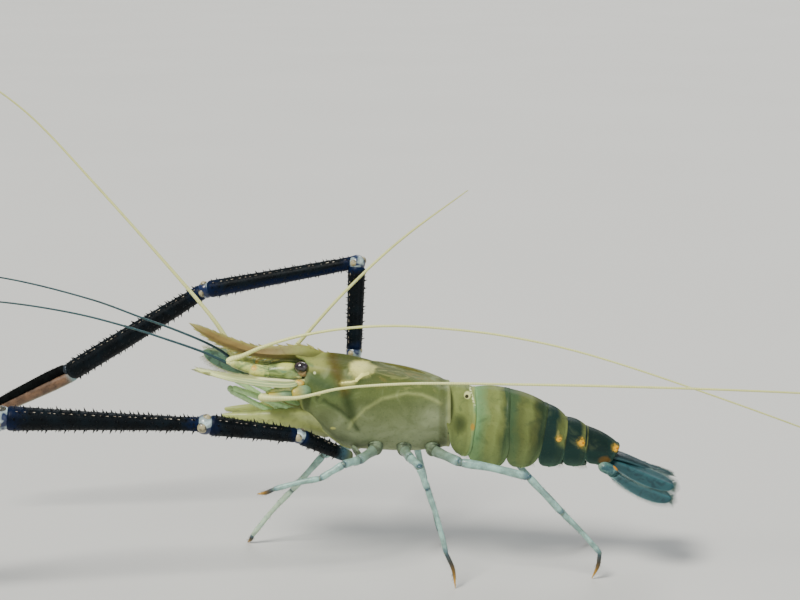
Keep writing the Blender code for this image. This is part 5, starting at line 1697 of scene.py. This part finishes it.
def fan_paint(name, base, tip, rib, root=None):
    """A leaf of the tail: streaked along its length, with a lighter rib and margin."""
    p = Paint(f"prawn_{name}", roughness=0.42, coat=0.1, flesh=0.12, specular=0.3)
    share, cross = p.share(), p.mark("cross")
    cloud, fine = p.noise(4, 3, warp=0.8), p.noise(0.8, 2, (0.3, 1, 1))
    p.colour = p.mix(share.step(0.1, 0.9), base, tip)
    p.lay(cloud.step(0.46, 0.66) * 0.75, p.mix(0.75, p.colour, (0.008, 0.022, 0.03)))
    rays = (cross * 95 + (cloud - 0.5) * 3).sine().step(0.2, 1)
    p.lay(rays * 0.22, rib)
    p.lay(p.mark("rib") * 0.45, rib)
    margin = abs(cross * 2 - 1).step(0.9, 1)
    p.lay(margin * 0.6, rib)
    if root:
        p.lay((share.step(0.34, 0.04) + (cloud - 0.5) * 0.6).step(0.2, 0.9), root)
    return p.done(fine * 0.2 + 0.34, fine, 0.08)


def scale_paint():
    """The near scale of the antenna: ribbed cream and green, bright along its inner side near its root as a
    painted highlight, with teal bands of painted shade on both sides of its rib.
    """
    p = Paint("prawn_scale_near", roughness=0.4, coat=0.12, flesh=0.2, specular=0.4)
    share, cross = p.share(), p.mark("cross")
    cloud, fine = p.noise(4, 3, (0.2, 1, 1)), p.noise(0.9, 2, (0.2, 1, 1))
    p.colour = p.mix(cloud.step(0.38, 0.62), hue("scale_cream", 0.52), hue("scale_cream", 0.85))
    p.lay(cross.step(0.52, 0.28) * share.step(0.8, 0.45) * 0.45, (0.34, 0.5, 0.31))
    # Two teal bands on either side of the rib are painted shade.
    p.lay(p.band(cross, 0.26, 0.4, 0.06) * share.step(0.75, 0.45) * 0.7, (0.23, 0.37, 0.23))
    p.lay(p.band(cross, 0.07, 0.13, 0.03) * share.step(0.8, 0.5) * 0.6, (0.22, 0.34, 0.18))
    p.lay(cross.step(0.05, 0).most(p.mark("rib")) * 0.8, (0.74, 0.78, 0.4))
    # Near-white along the inner side near the root: a painted highlight.
    bright = cross.step(0.5, 0.68) * cross.step(1, 0.93) * share.step(0.52, 0.3)
    p.lay((bright + (cloud - 0.5) * 0.7).step(0.35, 0.8), (1, 0.98, 0.64))
    p.lay(share.step(0.55, 0.9) * 0.8, hue("scale_cream", 1.1))
    rays = (cross * 120).sine().step(0.2, 1)
    p.lay(rays * 0.2, (0.3, 0.4, 0.18))
    return p.done(fine * 0.2 + 0.32, fine + rays * 0.5, 0.08)


def protopod_paint():
    p = Paint("prawn_protopod", roughness=0.42, coat=0.1, flesh=0.12, specular=0.3)
    cloud, fine = p.noise(3, 3, warp=0.8), p.noise(0.8)
    p.colour = p.mix(cloud.step(0.36, 0.64), (0.05, 0.12, 0.135), (0.15, 0.27, 0.24))
    p.lay(p.share().step(0.3, 0.08) * 0.7, (0.3, 0.4, 0.3))
    mark = p.stroke((104.4, 54.2), (108, 50.6), 0.7, 1.2)
    p.lay((mark + (cloud - 0.5) * 0.9).step(0.3, 0.9), (0.76, 0.36, 0.06))
    return p.done(None, fine, 0.06)


def leg_paint():
    p = Paint("prawn_leg", roughness=0.4, coat=0.15, flesh=0.2)
    share = p.share()
    cloud, fine = p.noise(4, 3), p.noise(0.8)
    p.colour = p.mix(cloud.step(0.35, 0.65), hue("leg_blue", 0.65), hue("leg_blue"))
    p.lay(share.step(0.86, 0.99) * 0.6, (0.04, 0.095, 0.16))
    p.lay(p.along().step(-36, -52) * p.height().step(52, 26) * 0.6, (0.64, 0.74, 0.54))
    p.lay(share.step(0.06, 0) * 0.5, (0.05, 0.1, 0.16))
    p.lay(p.height().step(50, 62) * p.across().step(26, 12) * 0.7, (0.15, 0.185, 0.11))
    p.lay(fine.step(0.55, 0.7) * 0.22, (0.06, 0.11, 0.14))
    return p.done(fine * 0.2 + 0.3, fine, 0.05)


# Materials with a maker of their own, by the short names that pieces ask for
OWN_PAINTS = {
    "shell": shell_paint, "core": core_paint, "rostrum": rostrum_paint, "eye": eye_paint,
    "stalk": stalk_paint,
    "scale_near": scale_paint, "knuckle": knuckle_paint, "condyle": condyle_paint,
    "fixed_finger": finger_paint,
    "leg": leg_paint, "protopod": protopod_paint,
}
# Materials of a shared kind: the maker, then what it needs after the name
SHARED_PAINTS = {
    "arm": (arm_paint, True), "palm": (arm_paint, False), "arm_far": (arm_paint, True, False, 0.85),
    "arm_root": (arm_paint, True, True),
    "hinge": (plain_paint, (0.003, 0.007, 0.012), (0.03, 0.065, 0.1), 4),
    "tooth": (plain_paint, (0.3, 0.26, 0.1), (0.48, 0.46, 0.19)),
    "fringe": (plain_paint, (0.26, 0.28, 0.13), (0.46, 0.48, 0.25)),
    "spine_pale": (plain_paint, (0.3, 0.32, 0.13), (0.52, 0.54, 0.26)),
    "scale_foot": (plain_paint, (0.36, 0.48, 0.26), (0.74, 0.74, 0.34), 2.2),
    "scale_root": (plain_paint, (0.62, 0.66, 0.3), (0.66, 0.42, 0.1)),
    "joint": (plain_paint, (0.06, 0.12, 0.15), (0.2, 0.26, 0.2), 2),
    "hip": (plain_paint, (0.1, 0.13, 0.08), (0.23, 0.29, 0.19), 3, 0.55, 0),
    "leg_hair": (plain_paint, (0.06, 0.09, 0.08), (0.16, 0.2, 0.15)),
    "arm_spine": (plain_paint, (0.002, 0.004, 0.006), (0.007, 0.013, 0.018), 2, 0.5, 0, 0, 0.2),
    # Pale grains along the arms: painted highlights.
    "glint": (plain_paint, (0.26, 0.21, 0.17), (0.7, 0.64, 0.52), 2),
    "moving_finger": (plain_paint, (0.002, 0.003, 0.003), (0.006, 0.009, 0.009), 3, 0.8, 0, 0, 0.08),
    "claw_tooth": (plain_paint, (0.22, 0.11, 0.06), (0.42, 0.24, 0.14), 1.5),
    "velvet": (plain_paint, (0.002, 0.003, 0.003), (0.009, 0.01, 0.009), 1.5, 0.9, 0, 0, 0.08),
    "telson_spine": (plain_paint, (0.01, 0.024, 0.026), (0.06, 0.11, 0.105)),
    "fan_hair": (plain_paint, (0.045, 0.085, 0.085), (0.13, 0.2, 0.18)),
    "antenna_base": (
        ramp_paint, (0, 0.14, 0.22, 0.13), (0.4, 0.3, 0.42, 0.26), (0.75, 0.5, 0.46, 0.16),
        (1, 0.62, 0.5, 0.14),
    ),
    "jaw": (
        ramp_paint, (0, "jaw_olive", 0.7), (0.35, "jaw_olive", 1), (0.6, "jaw_olive", 1.15),
        (1, "jaw_olive", 1.15),
    ),
    "first_leg": (ramp_paint, (0, 0.5, 0.68, 0.38), (0.5, 0.62, 0.84, 0.46), (1, 0.6, 0.82, 0.44)),
    "toe": (
        ramp_paint, (0, 0.07, 0.11, 0.13), (0.3, 0.06, 0.05, 0.035), (0.55, "toe_orange", 0.4),
        (0.8, "toe_orange", 1), (1, "toe_orange", 1.1),
    ),
    "scale_far": (fan_paint, (0.16, 0.27, 0.18), (0.1, 0.2, 0.15), (0.42, 0.44, 0.22)),
    "swimmeret": (fan_paint, (0.1, 0.16, 0.12), (0.05, 0.1, 0.08), (0.2, 0.26, 0.17)),
    "telson": (fan_paint, ("fan_blue", 0.35), ("fan_blue", 0.8), ("fan_blue", 1.6)),
    "fan_inner": (fan_paint, ("fan_blue", 0.9), ("fan_blue", 1.15), ("fan_blue", 2.4)),
    "fan_outer": (fan_paint, ("fan_blue", 1.1), ("fan_blue", 1), ("fan_blue", 2.6), (0.19, 0.34, 0.33)),
    "feeler_dark": (feeler_paint, "whip_dark", 0.4, 1, 1.6),
    "feeler_pale": (feeler_paint, "whip_pale", 0.6, 1, 1.3),
    **{f"antennule_{part}": (antennule_paint, part) for part in ANTENNULE_TONES},
    **{f"plate_{number}": (plate_paint, number, *PLATE_STOPS[number]) for number in PLATES},
}


class PaintBox(dict):
    """Materials by short name, each made when it is first asked for."""

    def __missing__(self, name):
        if name in OWN_PAINTS:
            self[name] = OWN_PAINTS[name]()
        else:
            make, *rest = SHARED_PAINTS[name]
            self[name] = make(name, *rest)
        return self[name]


PAINTS = PaintBox()


def floor_paint():
    p = Paint("studio_floor", roughness=0.7)
    p.colour = p.mix(p.noise(400, 2), (0.62, 0.62, 0.6), (0.66, 0.66, 0.64))
    return p.done()


CAMERA_TARGET = Vector((0, 0, 135))
SKY_COLOUR = (0.8, 0.84, 0.88, 1)
# Lamps: name, way towards the lamp, spread in degrees, strength and colour
STUDIO_LAMPS = (
    ("key", (-0.55, -0.75, 1.3), 20, 4.1, (1, 0.97, 0.9)),
    ("fill", (0.9, -1, 0.45), 40, 0.6, (0.9, 0.95, 1)),
    ("rim", (0.3, 1, 0.9), 30, 1, (1, 1, 1)),
)


def stage_object(name, data):
    item = bpy.data.objects.new(name, data)
    item.rotation_mode = "QUATERNION"
    bpy.context.scene.collection.objects.link(item)
    return item


def build_stage():
    scene = bpy.context.scene
    studio = scene.prawn_studio
    bm = bmesh.new()
    bmesh.ops.create_grid(bm, x_segments=4, y_segments=4, size=studio.floor_half)
    mesh = bpy.data.meshes.new("floor")
    bm.to_mesh(mesh)
    bm.free()
    mesh.materials.append(floor_paint())
    stage_object("floor", mesh)
    world = bpy.data.worlds.new("studio_air")
    world.use_nodes = True
    air = world.node_tree.nodes["Background"].inputs
    air["Color"].default_value = SKY_COLOUR
    air["Strength"].default_value = studio.sky
    scene.world = world
    for name, way, spread, strength, colour in STUDIO_LAMPS:
        lamp = bpy.data.lights.new(name, "SUN")
        lamp.angle, lamp.energy, lamp.color = math.radians(spread), strength * studio.light, colour
        item = stage_object(name, lamp)
        item.location = way
        item.rotation_quaternion = (-Vector(way)).to_track_quat("-Z", "Y")
    lens = bpy.data.cameras.new("photo_camera")
    lens.lens, lens.sensor_width = studio.lens, 36
    lens.clip_start, lens.clip_end = 0.05, 200
    camera = stage_object("photo_camera", lens)
    back = Vector((0, -math.cos(studio.elevation), math.sin(studio.elevation)))
    camera.location = (CAMERA_TARGET + SHIFT) * MM + back * studio.distance
    camera.rotation_quaternion = (-back).to_track_quat("-Z", "Y")
    scene.camera = camera


def colour_choice(name, description, default):
    return FloatVectorProperty(
        name=name, description=description, default=default, subtype="COLOR", size=3, min=0.0, max=1.0,
    )


def length_choice(name, description, default, low, high):
    return FloatProperty(
        name=name, description=description, default=default, min=low, max=high, unit="LENGTH",
    )


class PrawnSizes(bpy.types.PropertyGroup):
    """Sizes a user may change."""

    shell_cells: IntProperty(name="Shell cells", description="Cells along the shell", default=150, min=20)
    eye_length: length_choice("Eye length", "Longest way across an eye", 0.0073, 0.004, 0.009)
    whip_thickness: FloatProperty(
        name="Feeler thickness", description="Thickness of the long feelers against the model's own",
        default=1.0,
        min=0.5, max=1.5, subtype="FACTOR",
    )
    ring_length: length_choice("Feeler ring", "Length of one ring of a feeler", 0.0012, 0.0005, 0.005)
    thorn_height: length_choice("Thorn height", "Height of a large thorn on the arms", 0.00175, 0.0, 0.004)
    thorn_spacing: length_choice("Thorn spacing", "Distance between thorns along an arm", 0.0042, 0.002, 0.02)
    velvet_length: length_choice("Velvet length", "Length of the moving finger's velvet", 0.00115, 0.0, 0.003)
    leg_hair_length: length_choice("Leg hair", "Length of the walking legs' hairs", 0.0015, 0.0, 0.003)
    plate_thickness: length_choice("Plate thickness", "Thickness of a tail plate", 0.0009, 0.0003, 0.0015)
    fan_hair_length: length_choice("Fan hair", "Length of the hairs along the tail fan", 0.0036, 0.0, 0.006)


class PrawnLook(bpy.types.PropertyGroup):
    """Colours a user may change."""

    shell_high: colour_choice("Upper shell", "Olive of the head shell's upper side", (0.15, 0.185, 0.072))
    shell_low: colour_choice("Lower shell", "Paler olive of the shell's lower side", (0.325, 0.365, 0.228))
    shell_pale: colour_choice("Pale patches", "Cream of the patches on the head shell", (0.74, 0.72, 0.31))
    rostrum_tan: colour_choice("Rostrum", "Tan of the rostrum's blade", (0.37, 0.28, 0.12))
    eye_dark: colour_choice("Eye", "Dark purple brown of the eyes", (0.03, 0.014, 0.024))
    stalk_pink: colour_choice("Eyestalk", "Pink of the eyestalks", (0.82, 0.61, 0.34))
    whip_pale: colour_choice("Pale feelers", "Cream of the paired thin feelers", (0.74, 0.76, 0.38))
    whip_dark: colour_choice("Dark feelers", "Sea green of the upper pair of feelers", (0.03, 0.092, 0.108))
    scale_cream: colour_choice("Feeler scale", "Cream of the scale beside a feeler", (0.78, 0.84, 0.43))
    jaw_olive: colour_choice("Mouth limbs", "Olive of the limbs of the mouth", (0.42, 0.46, 0.19))
    arm_black: colour_choice("Arms", "Near black of the arms", (0.005, 0.012, 0.017))
    arm_blue: colour_choice("Arm ends", "Deep blue towards the joints of the arms", (0.005, 0.018, 0.066))
    knuckle_pale: colour_choice("Knuckles", "Pale blue of the arms' joints", (0.49, 0.59, 0.59))
    finger_brown: colour_choice("Claw finger", "Pink brown of the claw's fixed finger", (0.21, 0.13, 0.08))
    leg_blue: colour_choice("Walking legs", "Pale blue of the walking legs", (0.4, 0.59, 0.53))
    toe_orange: colour_choice("Leg tips", "Orange of the walking legs' tips", (0.6, 0.36, 0.08))
    tail_olive: colour_choice("Tail olive", "Olive bands of the tail's plates", (0.195, 0.23, 0.09))
    tail_sea: colour_choice("Tail green", "Sea green of the tail's front plates", (0.19, 0.31, 0.155))
    tail_dark: colour_choice("Tail dark", "Dark green bands of the tail's plates", (0.015, 0.042, 0.036))
    tail_spot: colour_choice("Tail spots", "Orange of the spots on the tail's sides", (0.82, 0.48, 0.085))
    fan_blue: colour_choice("Tail fan", "Blue green of the tail fan", (0.032, 0.082, 0.09))


class PrawnStudio(bpy.types.PropertyGroup):
    """The floor, the light and the camera."""

    floor_half: length_choice("Floor", "Half width of the studio floor", 40.0, 1.0, 100.0)
    light: FloatProperty(name="Light", description="Strength of the studio lamps", default=1.0, min=0.0)
    sky: FloatProperty(name="Sky", description="Strength of the studio air", default=0.5, min=0.0)
    distance: length_choice("Distance", "Distance of the camera", 0.85, 0.3, 10.0)
    elevation: FloatProperty(
        name="Elevation", description="Angle from which the camera looks down", default=math.radians(12.0),
        min=0.0, max=math.radians(85.0), subtype="ANGLE",
    )
    lens: FloatProperty(
        name="Lens", description="Focal length of the camera", default=79.2, min=20.0, unit="CAMERA",
    )


GROUPS = {"prawn_sizes": PrawnSizes, "prawn_look": PrawnLook, "prawn_studio": PrawnStudio}


class PrawnStep:
    """What all steps share: each is shown and can be undone."""

    bl_options = {"REGISTER", "UNDO"}


class PRAWN_OT_head(PrawnStep, bpy.types.Operator):
    """Builds the head shell, the rostrum and the spines of the cheek"""

    bl_idname = "prawn.head"
    bl_label = "Head shell"

    def execute(self, context):
        build_head_shell()
        build_head_core()
        build_rostrum()
        build_rostrum_teeth()
        build_rostrum_hairs()
        build_cheek_spines()
        return {"FINISHED"}


class PRAWN_OT_eyes(PrawnStep, bpy.types.Operator):
    """Builds the eyes and their stalks"""

    bl_idname = "prawn.eyes"
    bl_label = "Eyes"

    def execute(self, context):
        for side, label in SIDES:
            build_eye(side, label)
        return {"FINISHED"}


class PRAWN_OT_feelers(PrawnStep, bpy.types.Operator):
    """Builds the feelers, their bases and the scales beside them"""

    bl_idname = "prawn.feelers"
    bl_label = "Feelers"

    def execute(self, context):
        for side, label in SIDES:
            build_feeler_bases(side, label)
            build_scale(side, label)
        for name in FEELERS:
            build_feeler(name)
        return {"FINISHED"}


class PRAWN_OT_mouth(PrawnStep, bpy.types.Operator):
    """Builds the limbs of the mouth and the folded first legs"""

    bl_idname = "prawn.mouth"
    bl_label = "Mouth limbs"

    def execute(self, context):
        for side, label in SIDES:
            build_mouthparts(side, label)
        return {"FINISHED"}


class PRAWN_OT_arms(PrawnStep, bpy.types.Operator):
    """Builds the two long spiny arms and their claws"""

    bl_idname = "prawn.arms"
    bl_label = "Arms"

    def execute(self, context):
        for label in ARM_JOINTS:
            build_arm(label)
        return {"FINISHED"}


class PRAWN_OT_legs(PrawnStep, bpy.types.Operator):
    """Builds the six walking legs"""

    bl_idname = "prawn.legs"
    bl_label = "Walking legs"

    def execute(self, context):
        for name in LEG_JOINTS:
            build_leg(name)
        return {"FINISHED"}


class PRAWN_OT_tail(PrawnStep, bpy.types.Operator):
    """Builds the tail's plates, swimmerets and fan"""

    bl_idname = "prawn.tail"
    bl_label = "Tail"

    def execute(self, context):
        build_tail_core()
        for number in PLATES:
            build_plate(number)
        build_swimmerets()
        build_telson()
        build_uropods()
        return {"FINISHED"}


class PRAWN_OT_stage(PrawnStep, bpy.types.Operator):
    """Builds the floor, the lamps and the camera"""

    bl_idname = "prawn.stage"
    bl_label = "Studio"

    def execute(self, context):
        build_stage()
        return {"FINISHED"}


OPERATORS = (
    PRAWN_OT_head, PRAWN_OT_eyes, PRAWN_OT_feelers, PRAWN_OT_mouth, PRAWN_OT_arms, PRAWN_OT_legs,
    PRAWN_OT_tail, PRAWN_OT_stage,
)


class PRAWN_PT_panel(bpy.types.Panel):
    """The model's sizes, colours and steps in the sidebar"""

    bl_idname = "PRAWN_PT_panel"
    bl_label = "Giant river prawn"
    bl_space_type = "VIEW_3D"
    bl_region_type = "UI"
    bl_category = "Prawn"

    def draw(self, context):
        for place, group in GROUPS.items():
            column = self.layout.box().column()
            for name in group.__annotations__:
                column.prop(getattr(context.scene, place), name)
        for operator in OPERATORS:
            self.layout.operator(operator.bl_idname)


CLASSES = (*GROUPS.values(), *OPERATORS, PRAWN_PT_panel)


def register():
    for item in CLASSES:
        bpy.utils.register_class(item)
    for place, group in GROUPS.items():
        setattr(bpy.types.Scene, place, PointerProperty(type=group))


def unregister():
    for place in GROUPS:
        delattr(bpy.types.Scene, place)
    for item in reversed(CLASSES):
        bpy.utils.unregister_class(item)


def main():
    register()
    for operator in OPERATORS:
        group, step = operator.bl_idname.split(".")
        getattr(getattr(bpy.ops, group), step)()


if __name__ == "__main__":
    main()
